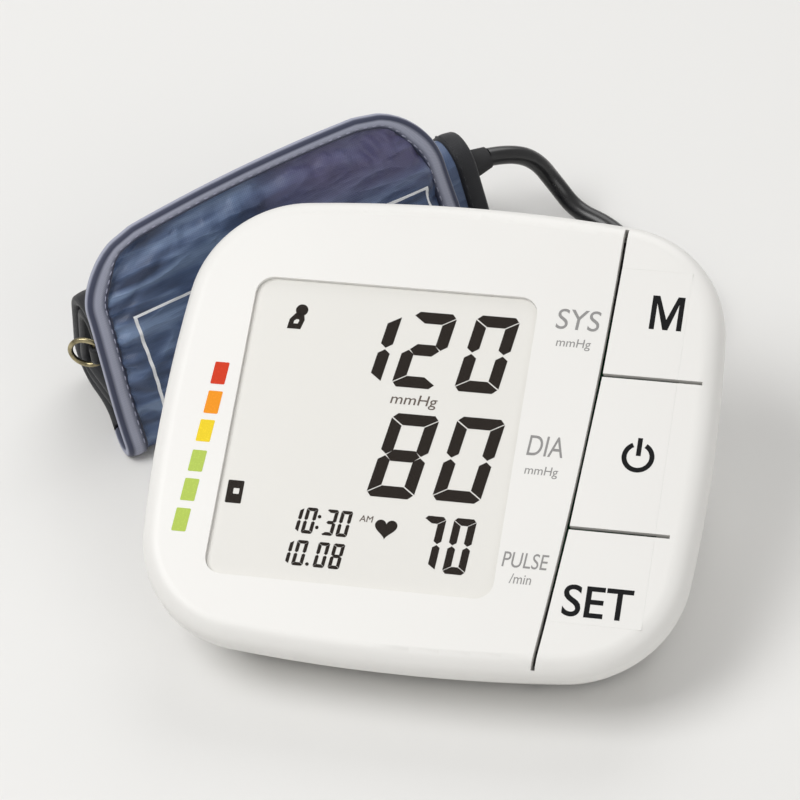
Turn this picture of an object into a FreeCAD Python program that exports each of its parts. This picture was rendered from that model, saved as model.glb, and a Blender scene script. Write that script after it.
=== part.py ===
import FreeCAD, Part
import Sketcher
import math
import os
import re

# Upper-arm blood pressure monitor: a wedge-shaped tabletop unit with a tilted face, a rolled wrap cuff
# behind its left rear corner, and the air hose between them. Millimetres, +Z up, the set stands on Z = 0.
# Three frames are used. DESK is the unit's own frame, on the table under the unit's centre. FACE lies in
# the unit's tilted face: X to the right, Y up the face, Z out of it. CUFF stands on the table at the
# middle of the cuff's front edge: X along the roll, Y to the back of it, Z up.

SIZES = {
    # where the unit and the cuff stand
    "unit_x": 20.25, "unit_y": -35.06, "cuff_x": -42.3, "cuff_y": 53.73, "cuff_turn": 41.0,
    # front housing
    "face_width": 137.0, "face_height": 121.4, "face_tilt": 22.0, "front_rise": 21.0, "cover_depth": 7.0,
    "side_bow_radius": 380.0, "end_bow_radius": 420.0, "corner_radius": 29.0, "rim_radius": 5.0,
    "wall": 2.4, "inner_rim_radius": 2.4,
    # rear housing
    "base_width": 120.0, "base_depth": 95.0, "base_back_shift": 2.5, "base_corner_radius": 24.0,
    "base_bow_radius": 340.0, "foot_gap": 2.0, "skirt_height": 4.0, "base_edge_radius": 3.0,
    "seam_inset": 0.4, "lip_height": 1.6, "lip_root": 2.0, "lip_wall": 1.0, "fit_gap": 0.2,
    # display
    "window_left": -49.5, "window_right": 21.5, "window_bottom": -42.3, "window_top": 36.2,
    "window_radius": 4.5, "window_sink": 0.9, "window_thickness": 1.1, "window_ledge": 2.2,
    "lcd_inset": 1.2, "lcd_thickness": 2.8, "lcd_gap": 0.3, "holder_wall": 1.6, "holder_ledge": 1.8,
    "strip_width": 2.4, "strip_inset": 2.2,
    # keys
    "slot_top_u": 40.2, "slot_top_v": 56.8, "slot_bottom_u": 33.6, "slot_bottom_v": -58.0,
    "slot_bow_radius": 1160.0, "slot_width": 1.0, "split_width": 0.9, "upper_split_v": 17.5,
    "upper_split_end": 64.0, "lower_split_v": -22.2, "lower_split_end": 61.5, "key_hinge_u": 58.0,
    "memory_top_v": 46.0, "set_bottom_v": -46.0, "key_thickness": 1.8, "key_play": 0.015,
    "post_radius": 2.2, "post_gap": 0.5,
    # board
    "board_drop": 9.0, "board_thickness": 1.6, "board_left": -47.0, "board_right": 56.0,
    "board_reach": 36.0, "left_ear": 11.0, "left_ear_reach": 8.0, "right_ear": 7.0, "right_ear_reach": 26.0,
    "pillar_radius": 2.5, "pillar_bore": 1.1, "pillar_u": 28.5, "pillar_v": 31.0, "right_pillar_u": 60.8,
    "right_pillar_v": 20.0, "left_pillar_u": -54.2, "board_screw_radius": 1.0, "board_screw_head": 2.0,
    "board_screw_head_height": 1.3, "board_screw_length": 5.0, "switch_side": 6.0, "switch_rise": 4.3,
    "switch_cap_radius": 1.7, "switch_cap_rise": 0.7, "switch_u": 47.0, "chip_side": 12.0,
    "chip_thickness": 1.4, "chip_u": -30.0, "chip_v": -4.0, "buzzer_radius": 6.0, "buzzer_height": 5.0,
    "buzzer_u": 44.0, "buzzer_v": -24.0, "sensor_width": 10.0, "sensor_depth": 8.0, "sensor_height": 4.0,
    "sensor_port_length": 5.0,
    # battery bay
    "cell_radius": 7.2, "cell_length": 50.0, "cell_pitch": 15.0, "cell_play": 0.2, "bay_wall": 1.6,
    "bay_front": -23.0, "bay_height": 17.2, "bay_middle": -1.5, "door_thickness": 1.8, "door_gap": 0.3,
    "door_margin": 1.5, "tab_width": 9.0, "tab_reach": 1.5, "tab_skin": 0.9, "tab_spread": 20.0,
    "grip_width": 14.0, "grip_pitch": 1.6, "grip_depth": 0.5, "contact_thickness": 0.5,
    "contact_width": 11.0, "spring_length": 3.2, "spring_turns": 2.5, "spring_wire": 0.4, "spring_flats": 8,
    "spring_foot_radius": 4.4, "spring_tip_radius": 2.2, "nib_radius": 2.7, "nib_rise": 1.0,
    # pump and air path
    "pump_radius": 10.2, "pump_motor_radius": 9.6, "pump_motor_length": 30.0, "pump_head_length": 20.0,
    "pump_left": -42.0, "pump_y": 27.0, "pump_z": 31.4, "pump_port_drop": 5.0, "port_length": 4.5,
    "port_radius": 1.4, "cradle_width": 8.0, "cradle_wall": 2.0, "cradle_drop": 1.5, "tube_radius": 2.0,
    "manifold_x": 21.0, "manifold_radius": 3.0, "nipple_length": 3.5, "valve_width": 15.0,
    "valve_depth": 12.0, "valve_height": 11.0, "valve_x": 43.5, "socket_x": -12.0, "socket_z": 32.0,
    "socket_radius": 5.0, "socket_bore": 3.0, "socket_depth": 12.0, "flange_radius": 6.5,
    "flange_thickness": 1.5, "elbow_length": 5.2, "collar_radius": 8.0, "collar_back": 58.6,
    "collar_length": 7.0, "socket_tube_run": 10.0, "socket_tube_lift": 4.0, "socket_tube_reach": 13.0,
    "jack_x": -34.0, "jack_z": 16.0, "jack_width": 9.0, "jack_height": 10.0, "jack_depth": 14.0,
    "jack_bore": 2.8, "jack_pin": 1.0,
    # screws and feet
    "boss_radius": 3.5, "boss_bore": 1.2, "screw_radius": 1.1, "screw_head_radius": 2.6,
    "screw_head_height": 1.6, "well_radius": 4.6, "well_bore": 3.1, "screw_hole_radius": 1.6,
    "left_screw_x": -53.8, "left_front_screw_y": -23.2, "left_back_screw_y": 30.0, "right_screw_x": 30.0,
    "right_front_screw_y": -38.5, "right_back_screw_y": 41.5, "foot_radius": 5.0, "foot_seat": 1.0,
    "foot_x": 42.0, "foot_front_y": -32.0, "foot_back_y": 37.0,
    # cuff roll
    "roll_width": 110.0, "roll_shift": 4.0, "roll_height": 37.0, "roll_lean": 22.8, "roll_depth": 43.0,
    "foot_roll_radius": 10.5, "crown_radius": 10.5, "back_radius": 10.5, "outer_wrap_wall": 3.2,
    "wrap_clearance": 0.3, "bladder_wall": 1.6, "bladder_width": 94.0, "inner_wrap_width": 106.0,
    "core_slit_height": 3.0, "core_slit_shift": 5.5, "core_slit_length": 9.0, "core_slit_z": 15.5,
    "flap_thickness": 3.4, "flap_width": 101.0, "flap_shift": -3.3, "flap_bottom": 5.0, "flap_top": 63.8,
    "flap_radius": 17.0, "binding_reach": 1.0, "binding_cover": 2.2, "binding_skin": 0.5,
    "hook_thickness": 1.2, "hook_width": 76.0, "hook_height": 22.0, "hook_rise": 8.0,
    # ring at the roll's left end
    "ring_z": 25.0, "ring_y": 20.0, "ring_wire_radius": 0.7, "ring_bar": 7.0, "ring_reach": 7.0,
    "loop_reach": 3.4, "loop_radius": 2.0, "loop_height": 5.0, "loop_tail": 1.6,
    # hose
    "hose_radius": 2.5, "hose_bore": 1.3, "hose_exit_shift": 6.5, "hose_exit_z": 25.0,
    "grommet_length": 9.0, "grommet_radius": 4.4, "coil_x": 24.5, "coil_y": 80.5, "coil_outer": 28.0,
    "coil_inner": 23.0, "coil_rise": 4.4, "run_overlap": 10.0, "tail_overlap": 3.0, "plug_radius": 4.6,
    "plug_nozzle_radius": 2.7, "plug_nozzle_length": 9.0, "plug_standoff": 5.6, "plug_tail_turn": 40.0,
    "plug_tail_length": 12.0,
}

# The hose from the cuff's grommet to the coil, and from the coil to the plug, in the DESK frame.
HOSE_RUN = [(-1.6, 126.0, 23.0), (6.2, 128.8, 16.0), (13.4, 125.4, 8.8), (19.8, 119.2, 3.9), (27.2, 112.8, 2.5)]
HOSE_TAIL = [(5.0, 66.2, 18.0), (12.5, 62.5, 11.8)]


doc = FreeCAD.newDocument("arm_blood_pressure_monitor")
sheet = doc.addObject("Spreadsheet::Sheet", "sizes")
for row, (alias, number) in enumerate(SIZES.items(), 1):
    sheet.set(f"A{row}", alias)
    sheet.set(f"B{row}", str(number))
    sheet.setAlias(f"B{row}", alias)
doc.recompute()

NODES = {}


def V(x=0.0, y=0.0, z=0.0):
    return FreeCAD.Vector(x, y, z)


def bound(expression):
    """The expression with each size's name pointing at its cell."""
    return re.sub(r"[a-z][a-z_]+", lambda m: "sizes." + m.group() if m.group() in SIZES else m.group(),
                  str(expression))


def value(expression):
    return float(sheet.evalExpression(bound(expression)))


def values(*expressions):
    return [value(expression) for expression in expressions]


def frame(x=0, y=0, z=0, axis=(0, 0, 1), turn=0, parent=None):
    """A placement at x, y, z, turned about an axis, inside a parent frame."""
    own = FreeCAD.Placement(V(*values(x, y, z)), FreeCAD.Rotation(V(*axis), value(turn)))
    return parent.multiply(own) if parent else own


DESK = frame("unit_x", "unit_y")
FACE_MIDDLE_Z = "front_rise + face_height / 2 * sin(face_tilt)"
FACE = frame(0, 0, FACE_MIDDLE_Z, (1, 0, 0), "face_tilt", DESK)
CUFF = frame("cuff_x", "cuff_y", 0, (0, 0, 1), "cuff_turn", DESK)


def name_node(item, node):
    item.Label = node
    NODES[node] = item
    return item


# ---------------------------------------------------------------- sketches and PartDesign features

def new_body(name, place):
    body = doc.addObject("PartDesign::Body", name)
    body.Placement = place
    return body


def named_body(node, place):
    return name_node(new_body(node, place), node)


def new_sketch(body, name, role="XY_Plane", offset=None):
    sketch = body.newObject("Sketcher::SketchObject", name)
    plane = [item for item in body.Origin.OriginFeatures if item.Role == role][0]
    sketch.AttachmentSupport = [(plane, "")]
    sketch.MapMode = "FlatFace"
    if offset:
        sketch.AttachmentOffset = offset
    return sketch


def fix(sketch, kind, *args):
    """Adds a constraint whose last argument is an expression."""
    index = sketch.addConstraint(Sketcher.Constraint(kind, *args[:-1], value(args[-1])))
    sketch.setExpression(f"Constraints[{index}]", bound(args[-1]))


def pin_point(sketch, geometry, point, x, y):
    fix(sketch, "DistanceX", -1, 1, geometry, point, x)
    fix(sketch, "DistanceY", -1, 1, geometry, point, y)


def polygon(sketch, corners):
    """A closed outline of straight lines through the corners, each placed from the origin."""
    points = [V(*values(x, y)) for x, y in corners]
    count = len(points)
    first = len(sketch.Geometry)
    sketch.addGeometry([Part.LineSegment(points[i], points[(i + 1) % count]) for i in range(count)], False)
    for i in range(count):
        sketch.addConstraint(Sketcher.Constraint("Coincident", first + i, 2, first + (i + 1) % count, 1))
        pin_point(sketch, first + i, 1, *corners[i])


def rectangle(sketch, left, bottom, right, top):
    polygon(sketch, [(left, bottom), (right, bottom), (right, top), (left, top)])


def circle(sketch, x, y, radius):
    index = sketch.addGeometry(Part.Circle(V(*values(x, y)), V(0, 0, 1), value(radius)), False)
    pin_point(sketch, index, 3, x, y)
    fix(sketch, "Radius", index, radius)


def hull(sketch, rounds):
    """The band round three or more circles (x, y, radius), anticlockwise: arcs joined by tangent lines."""
    count = len(rounds)
    spots = [values(*item) for item in rounds]
    touch = []
    for i in range(count):
        (x0, y0, r0), (x1, y1, r1) = spots[i], spots[(i + 1) % count]
        span = math.hypot(x1 - x0, y1 - y0)
        turn = math.atan2(y1 - y0, x1 - x0) - math.pi / 2 + math.asin((r0 - r1) / span)
        touch.append(turn)
    first = len(sketch.Geometry)
    pieces = []
    for i in range(count):
        x, y, radius = spots[i]
        nx, ny, nr = spots[(i + 1) % count]
        start, end = touch[i - 1], touch[i]
        while end < start:
            end += 2 * math.pi
        pieces.append(Part.ArcOfCircle(Part.Circle(V(x, y), V(0, 0, 1), radius), start, end))
        reach = V(math.cos(touch[i]), math.sin(touch[i]))
        pieces.append(Part.LineSegment(V(x, y) + reach * radius, V(nx, ny) + reach * nr))
    sketch.addGeometry(pieces, False)
    total = 2 * count
    for i in range(total):
        sketch.addConstraint(Sketcher.Constraint("Tangent", first + i, 2, first + (i + 1) % total, 1))
    for i, (x, y, radius) in enumerate(rounds):
        pin_point(sketch, first + 2 * i, 3, x, y)
        fix(sketch, "Radius", first + 2 * i, radius)


def rounded_rectangle(sketch, left, bottom, right, top, radius):
    corners = [(f"{left} + {radius}", f"{bottom} + {radius}"), (f"{right} - {radius}", f"{bottom} + {radius}"),
               (f"{right} - {radius}", f"{top} - {radius}"), (f"{left} + {radius}", f"{top} - {radius}")]
    hull(sketch, [(x, y, radius) for x, y in corners])


def bowed_outline(sketch, width, height, side_bow, end_bow, corner, inset="0"):
    """A rounded oblong about the origin whose four sides are long arcs and whose corners are tangent arcs."""
    half_x, half_y, side, end, round_off, cut = values(f"({width}) / 2", f"({height}) / 2", side_bow, end_bow,
                                                       corner, inset)
    half_x, half_y, side, end, round_off = (n - cut for n in (half_x, half_y, side, end, round_off))
    near, far = side - round_off, end - round_off
    back, drop = half_x - side, half_y - end
    span = math.hypot(back, drop)
    along = (near * near - far * far + span * span) / (2 * span)
    across = math.sqrt(near * near - along * along)
    x = back - along * back / span - across * drop / span
    y = along * drop / span - across * back / span
    a, b, pi = math.atan2(y, x - back), math.atan2(y - drop, x), math.pi

    def arc(cx, cy, radius, start, stop):
        return Part.ArcOfCircle(Part.Circle(V(cx, cy), V(0, 0, 1), radius), start, stop)

    first = len(sketch.Geometry)
    sketch.addGeometry([arc(back, 0, side, -a, a), arc(x, y, round_off, a, b), arc(0, drop, end, b, pi - b),
                        arc(-x, y, round_off, pi - b, pi - a), arc(-back, 0, side, pi - a, pi + a),
                        arc(-x, -y, round_off, pi + a, pi + b), arc(0, -drop, end, pi + b, 2 * pi - b),
                        arc(x, -y, round_off, 2 * pi - b, 2 * pi - a)], False)
    for i in range(8):
        sketch.addConstraint(Sketcher.Constraint("Tangent", first + i, 2, first + (i + 1) % 8, 1))
    for i, axis in ((0, -1), (4, -1), (2, -2), (6, -2)):
        sketch.addConstraint(Sketcher.Constraint("PointOnObject", first + i, 3, axis))
    fix(sketch, "DistanceX", first, 3, -1, 1, f"{side_bow} - ({width}) / 2")
    fix(sketch, "DistanceX", -1, 1, first + 4, 3, f"{side_bow} - ({width}) / 2")
    fix(sketch, "DistanceY", first + 2, 3, -1, 1, f"{end_bow} - ({height}) / 2")
    fix(sketch, "DistanceY", -1, 1, first + 6, 3, f"{end_bow} - ({height}) / 2")
    for i, radius in enumerate((side_bow, corner, end_bow, corner) * 2):
        fix(sketch, "Radius", first + i, f"{radius} - ({inset})")


def pad(body, sketch, length, reverse=False, midplane=False):
    feature = body.newObject("PartDesign::Pad", "pad_" + sketch.Label)
    feature.Profile = sketch
    feature.setExpression("Length", bound(length))
    feature.Reversed = reverse
    feature.Midplane = midplane
    return feature


def pocket(body, sketch, length=None, reverse=False):
    """A cut down the sketch's normal, or up it when reversed; through all where no length is given."""
    feature = body.newObject("PartDesign::Pocket", "pocket_" + sketch.Label)
    feature.Profile = sketch
    if length is None:
        feature.Type = "ThroughAll"
    else:
        feature.setExpression("Length", bound(length))
    feature.Reversed = reverse
    return feature


def loft(body, kind, lower, upper):
    feature = body.newObject("PartDesign::" + kind, "loft_" + lower.Label)
    feature.Profile = lower
    feature.Sections = [upper]
    feature.Ruled = True
    return feature


def edges_where(feature, test):
    """Names of the feature's edges whose every vertex passes the test, in the body's own frame."""
    return [f"Edge{i}" for i, edge in enumerate(feature.Shape.Edges, 1)
            if all(test(vertex.Point) for vertex in edge.Vertexes)]


def fillet(body, feature, test, radius):
    doc.recompute()
    rounding = body.newObject("PartDesign::Fillet", "fillet_" + feature.Label)
    rounding.Base = (feature, edges_where(feature, test))
    rounding.setExpression("Radius", bound(radius))
    doc.recompute()
    return rounding


def turned(body, corners, role="XZ_Plane"):
    """A body turned about its own Z axis from a half section in (radius, height)."""
    sketch = new_sketch(body, body.Label + "_section", role)
    polygon(sketch, corners)
    feature = body.newObject("PartDesign::Revolution", "turn_" + sketch.Label)
    feature.Profile = sketch
    feature.ReferenceAxis = (sketch, ["V_Axis"])
    feature.Angle = 360
    return feature


# ---------------------------------------------------------------- Part primitives and booleans

def box(name, sizes, at, place):
    item = doc.addObject("Part::Box", name)
    for side, size in zip(("Length", "Width", "Height"), sizes):
        item.setExpression(side, bound(size))
    item.Placement = frame(*at, parent=place)
    return item


def rod(name, radius, length, at, place, axis=(0, 0, 1)):
    item = doc.addObject("Part::Cylinder", name)
    item.setExpression("Radius", bound(radius))
    item.setExpression("Height", bound(length))
    turn = FreeCAD.Rotation(V(0, 0, 1), V(*axis))
    item.Placement = place.multiply(FreeCAD.Placement(V(*values(*at)), turn))
    return item


def cut(name, base, tools):
    """The base less each tool in turn."""
    for i, tool in enumerate(tools):
        item = doc.addObject("Part::Cut", name if i == len(tools) - 1 else f"{name}_cut_{i + 1}")
        item.Base, item.Tool = base, tool
        base = item
    return base


def fuse(name, shapes):
    item = doc.addObject("Part::MultiFuse", name)
    item.Shapes = shapes
    return item


def group(name, shapes):
    """Separate solids kept side by side in one node."""
    item = doc.addObject("Part::Compound", name)
    item.Links = shapes
    return item


# ---------------------------------------------------------------- front housing, window and keys

SCREWS = [("left_screw_x", "left_front_screw_y"), ("left_screw_x", "left_back_screw_y"),
          ("right_screw_x", "right_front_screw_y"), ("right_screw_x", "right_back_screw_y")]
PILLARS = [("pillar_u", "-pillar_v"), ("pillar_u", "pillar_v"), ("right_pillar_u", "-right_pillar_v"),
           ("right_pillar_u", "right_pillar_v"), ("left_pillar_u", "0")]
UPPER_SPLIT = ("upper_split_v - split_width / 2", "upper_split_v + split_width / 2")
LOWER_SPLIT = ("lower_split_v - split_width / 2", "lower_split_v + split_width / 2")
KEYS = {"key_memory": (UPPER_SPLIT[1], "memory_top_v"), "key_power": (LOWER_SPLIT[1], UPPER_SPLIT[0]),
        "key_set": ("set_bottom_v", LOWER_SPLIT[0])}


def face_outline(body, name, inset="0", depth="0"):
    sketch = new_sketch(body, name, offset=frame(z=f"-({depth})"))
    bowed_outline(sketch, "face_width", "face_height", "side_bow_radius", "end_bow_radius", "corner_radius", inset)
    return sketch


def slot_u(v):
    """Where the long slot's bowed centre line crosses the height v."""
    chord = "sqrt((slot_top_u - slot_bottom_u) ^ 2 + (slot_top_v - slot_bottom_v) ^ 2)"
    share = f"((({v}) - slot_bottom_v) / (slot_top_v - slot_bottom_v))"
    return (f"(slot_bottom_u + (slot_top_u - slot_bottom_u) * {share}"
            f" + ({chord}) ^ 2 / (2 * slot_bow_radius) * {share} * (1 - {share}))")


def slot_strip(sketch):
    """The long slot: two long arcs one slot width apart, closed by straight ends."""
    bottom, top, middle = "slot_bottom_v", "slot_top_v", "(slot_top_v + slot_bottom_v) / 2"
    ends = [(f"{slot_u(v)} {side} slot_width / 2", v) for v, side in ((bottom, "-"), (bottom, "+"), (top, "+"), (top, "-"))]
    left, right = (V(*values(f"{slot_u(middle)} {side} slot_width / 2", middle)) for side in "-+")
    corner = [V(*values(*end)) for end in ends]
    sketch.addGeometry([Part.LineSegment(corner[0], corner[1]), Part.Arc(corner[1], right, corner[2]),
                        Part.LineSegment(corner[3], corner[2]), Part.Arc(corner[0], left, corner[3])], False)
    for one, its_point, other, other_point in ((0, 2, 1, 1), (1, 2, 2, 2), (2, 1, 3, 2), (3, 1, 0, 1)):
        sketch.addConstraint(Sketcher.Constraint("Coincident", one, its_point, other, other_point))
    for line, point, end in ((0, 1, 0), (0, 2, 1), (2, 2, 2), (2, 1, 3)):
        pin_point(sketch, line, point, *ends[end])
    for bow in (1, 3):
        fix(sketch, "Radius", bow, "slot_bow_radius")


def key_outline(sketch, bottom, top, shift="0", play="0"):
    """From the slot to the key's hinge edge, between two levels."""
    low, high = f"{bottom} + {play}", f"{top} - {play}"
    polygon(sketch, [(f"{slot_u(bottom)} + {shift}", low), (f"key_hinge_u - {play}", low),
                     (f"key_hinge_u - {play}", high), (f"{slot_u(top)} + {shift}", high)])


def well_top(y):
    """Height of a screw well: under the board at the back, just over the floor at the front."""
    return f"(foot_gap + wall + 1.8 + max(0; ({y}) + 30) * 0.34)"


def boss(name, x, y):
    """An upright screw boss from the well's top to inside the face."""
    foot = f"({well_top(y)} + fit_gap)"
    roof = f"({FACE_MIDDLE_Z} + ({y}) * tan(face_tilt) - 0.8 * wall / cos(face_tilt))"
    return rod(name, "boss_radius", f"{roof} - {foot}", (x, y, foot), DESK)


def front_housing():
    body = new_body("front_shell", FACE)
    block = pad(body, face_outline(body, "face_outline"), "cover_depth", reverse=True)
    fillet(body, block, lambda p: abs(p.z) < 0.001, "rim_radius")
    hollow = pocket(body, face_outline(body, "hollow_outline", "wall", "cover_depth"), "cover_depth - wall", True)
    roof = -value("wall")
    fillet(body, hollow, lambda p: abs(p.z - roof) < 0.001, "inner_rim_radius")
    pillars = new_sketch(body, "pillars", offset=frame(z="-board_drop"))
    for u, v in PILLARS:
        circle(pillars, u, v, "pillar_radius")
    pad(body, pillars, "board_drop - wall / 2")
    bores = new_sketch(body, "pillar_bores", offset=frame(z="-board_drop"))
    for u, v in PILLARS:
        circle(bores, u, v, "pillar_bore")
    pocket(body, bores, "board_screw_length", reverse=True)
    seat = new_sketch(body, "window_seat")
    rounded_rectangle(seat, "window_left", "window_bottom", "window_right", "window_top", "window_radius")
    pocket(body, seat, "window_sink + window_thickness")
    opening = new_sketch(body, "window_opening")
    rounded_rectangle(opening, "(window_left + window_ledge)", "(window_bottom + window_ledge)",
                      "(window_right - window_ledge)", "(window_top - window_ledge)",
                      "(window_radius - window_ledge)")
    pocket(body, opening, "wall * 2")
    strip = new_sketch(body, "long_slot")
    slot_strip(strip)
    pocket(body, strip, "wall * 2")
    for name, (bottom, top) in KEYS.items():
        hole = new_sketch(body, name + "_hole")
        key_outline(hole, bottom, top)
        pocket(body, hole, "wall * 2")
    for (bottom, top), level, end in ((UPPER_SPLIT, "upper_split_v", "upper_split_end"),
                                      (LOWER_SPLIT, "lower_split_v", "lower_split_end")):
        split = new_sketch(body, level + "_slit")
        rectangle(split, slot_u(level), bottom, end, top)
        pocket(body, split, "wall * 2")
    bosses = [boss(f"boss_{i}", x, y) for i, (x, y) in enumerate(SCREWS, 1)]
    holes = [rod(f"boss_hole_{i}", "boss_bore", "10", (x, y, f"{well_top(y)} - 1"), DESK)
             for i, (x, y) in enumerate(SCREWS, 1)]
    name_node(cut("front_housing", fuse("front_shell_and_bosses", [body] + bosses), holes), "front_housing")


def display():
    window = named_body("display_window", FACE)
    sketch = new_sketch(window, "window_outline", offset=frame(z="-window_sink"))
    rounded_rectangle(sketch, "(window_left + fit_gap)", "(window_bottom + fit_gap)", "(window_right - fit_gap)",
                      "(window_top - fit_gap)", "(window_radius - fit_gap)")
    pad(window, sketch, "window_thickness", reverse=True)
    panel = named_body("lcd_panel", FACE)
    glass = new_sketch(panel, "lcd_outline", offset=frame(z="-wall - lcd_gap"))
    rectangle(glass, *lcd_edges("0"))
    pad(panel, glass, "lcd_thickness", reverse=True)
    holder = named_body("lcd_holder", FACE)
    outside = new_sketch(holder, "holder_outside", offset=frame(z="-wall - fit_gap"))
    rectangle(outside, *lcd_edges("lcd_gap + holder_wall"))
    pad(holder, outside, "board_drop - wall - 2 * fit_gap", reverse=True)
    seat = new_sketch(holder, "holder_seat", offset=frame(z="-wall - fit_gap"))
    rectangle(seat, *lcd_edges("lcd_gap"))
    pocket(holder, seat, "lcd_gap - fit_gap + lcd_thickness + 0.1")
    opening = new_sketch(holder, "holder_opening", offset=frame(z="-wall"))
    rectangle(opening, *lcd_edges("-holder_ledge"))
    pocket(holder, opening, "board_drop")
    strips = []
    left, bottom, right, top = lcd_edges("-strip_inset")
    for side, v in (("lower", bottom), ("upper", f"{top} - strip_width")):
        strips.append(box(f"{side}_strip", (f"{right} - ({left}) - 8", "strip_width",
                                            "board_drop - wall - lcd_gap - lcd_thickness"),
                          (f"{left} + 4", v, "-board_drop"), FACE))
    name_node(group("lcd_connectors", strips), "lcd_connectors")


def lcd_edges(grow):
    """Left, bottom, right and top of the display's glass, each moved outwards."""
    return [f"window_left + lcd_inset - ({grow})", f"window_bottom + lcd_inset - ({grow})",
            f"window_right - lcd_inset + {grow}", f"window_top - lcd_inset + {grow}"]


def key_middle_v(bottom, top):
    return f"(({bottom}) + ({top})) / 2"


def keys():
    for name, (bottom, top) in KEYS.items():
        body = named_body(name, FACE)
        sketch = new_sketch(body, name + "_outline")
        key_outline(sketch, bottom, top, "slot_width / 2", "key_play")
        pad(body, sketch, "key_thickness", reverse=True)
        post = new_sketch(body, name + "_post", offset=frame(z="-key_thickness"))
        circle(post, "switch_u", key_middle_v(bottom, top), "post_radius")
        pad(body, post, "board_drop - switch_rise - switch_cap_rise - post_gap - key_thickness", reverse=True)


# ---------------------------------------------------------------- board and what it carries

UNDER_BOARD = "(-board_drop - board_thickness)"
MANIFOLD_Z = "(pump_z - pump_port_drop)"
# The pressure sensor's port points at the manifold, square to the board.
SENSOR_V = f"(pump_y * cos(face_tilt) + ({MANIFOLD_Z} - ({FACE_MIDDLE_Z})) * sin(face_tilt))"
MANIFOLD_W = f"(-pump_y * sin(face_tilt) + ({MANIFOLD_Z} - ({FACE_MIDDLE_Z})) * cos(face_tilt))"


def board():
    body = named_body("main_board", FACE)
    sketch = new_sketch(body, "board_outline", offset=frame(z="-board_drop"))
    left_ear, right_ear = "board_left - left_ear", "board_right + right_ear"
    polygon(sketch, [("board_left", "-board_reach"), ("board_right", "-board_reach"),
                     ("board_right", "-right_ear_reach"), (right_ear, "-right_ear_reach"),
                     (right_ear, "right_ear_reach"), ("board_right", "right_ear_reach"),
                     ("board_right", "board_reach"), ("board_left", "board_reach"),
                     ("board_left", "left_ear_reach"), (left_ear, "left_ear_reach"),
                     (left_ear, "-left_ear_reach"), ("board_left", "-left_ear_reach")])
    pad(body, sketch, "board_thickness", reverse=True)
    holes = new_sketch(body, "board_holes", offset=frame(z="-board_drop"))
    for u, v in PILLARS:
        circle(holes, u, v, "board_screw_radius + fit_gap")
    pocket(body, holes, "board_thickness * 2")
    screws = []
    for i, (u, v) in enumerate(PILLARS, 1):
        head = rod(f"board_screw_head_{i}", "board_screw_head", "board_screw_head_height",
                   (u, v, f"{UNDER_BOARD} - board_screw_head_height"), FACE)
        shank = rod(f"board_screw_shank_{i}", "board_screw_radius", "board_screw_length", (u, v, UNDER_BOARD), FACE)
        screws.append(fuse(f"board_screw_{i}", [head, shank]))
    name_node(group("board_screws", screws), "board_screws")
    switches = []
    for name, (bottom, top) in KEYS.items():
        v = key_middle_v(bottom, top)
        case = box(name + "_switch_case", ("switch_side", "switch_side", "switch_rise"),
                   ("switch_u - switch_side / 2", f"{v} - switch_side / 2", "-board_drop"), FACE)
        cap = rod(name + "_switch_cap", "switch_cap_radius", "switch_cap_rise",
                  ("switch_u", v, "-board_drop + switch_rise"), FACE)
        switches.append(fuse(name + "_switch", [case, cap]))
    name_node(group("key_switches", switches), "key_switches")
    chip = box("processor_chip", ("chip_side", "chip_side", "chip_thickness"),
               ("chip_u - chip_side / 2", "chip_v - chip_side / 2", f"{UNDER_BOARD} - chip_thickness"), FACE)
    name_node(chip, "processor_chip")
    name_node(rod("buzzer", "buzzer_radius", "buzzer_height", ("buzzer_u", "buzzer_v", f"{UNDER_BOARD} - buzzer_height"),
                  FACE), "buzzer")
    case = box("sensor_case", ("sensor_width", "sensor_depth", "sensor_height"),
               ("manifold_x - sensor_width / 2", f"{SENSOR_V} - sensor_depth / 2", f"{UNDER_BOARD} - sensor_height"),
               FACE)
    port = rod("sensor_port", "port_radius", "sensor_port_length",
               ("manifold_x", SENSOR_V, f"{UNDER_BOARD} - sensor_height - sensor_port_length"), FACE)
    name_node(fuse("pressure_sensor", [case, port]), "pressure_sensor")


# ---------------------------------------------------------------- rear housing

FEET = [(f"{side}foot_x", y) for y in ("foot_front_y", "foot_back_y") for side in ("-", "")]
BAY_LEFT = "(bay_middle - 2 * cell_pitch - cell_play)"
BAY_RIGHT = "(bay_middle + 2 * cell_pitch + cell_play)"
JACK_BACK = "(base_depth / 2 + base_back_shift)"
BAY_BACK = "(bay_front + 2 * contact_thickness + spring_length + cell_length)"


def base_outline(body, name, inset, z):
    sketch = new_sketch(body, name, offset=frame(y="base_back_shift", z=z))
    bowed_outline(sketch, "base_width", "base_depth", "base_bow_radius", "base_bow_radius", "base_corner_radius",
                  inset)
    return sketch


def seam_outline(body, name, *insets, depth="cover_depth"):
    """The housing's outline in the plane of the seam, which lies parallel to the tilted face."""
    tilted = frame(0, 0, FACE_MIDDLE_Z, (1, 0, 0), "face_tilt").multiply(frame(z=f"-({depth})"))
    sketch = new_sketch(body, name, offset=tilted)
    for inset in insets:
        bowed_outline(sketch, "face_width", "face_height", "side_bow_radius", "end_bow_radius", "corner_radius",
                      inset)
    return sketch


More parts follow.
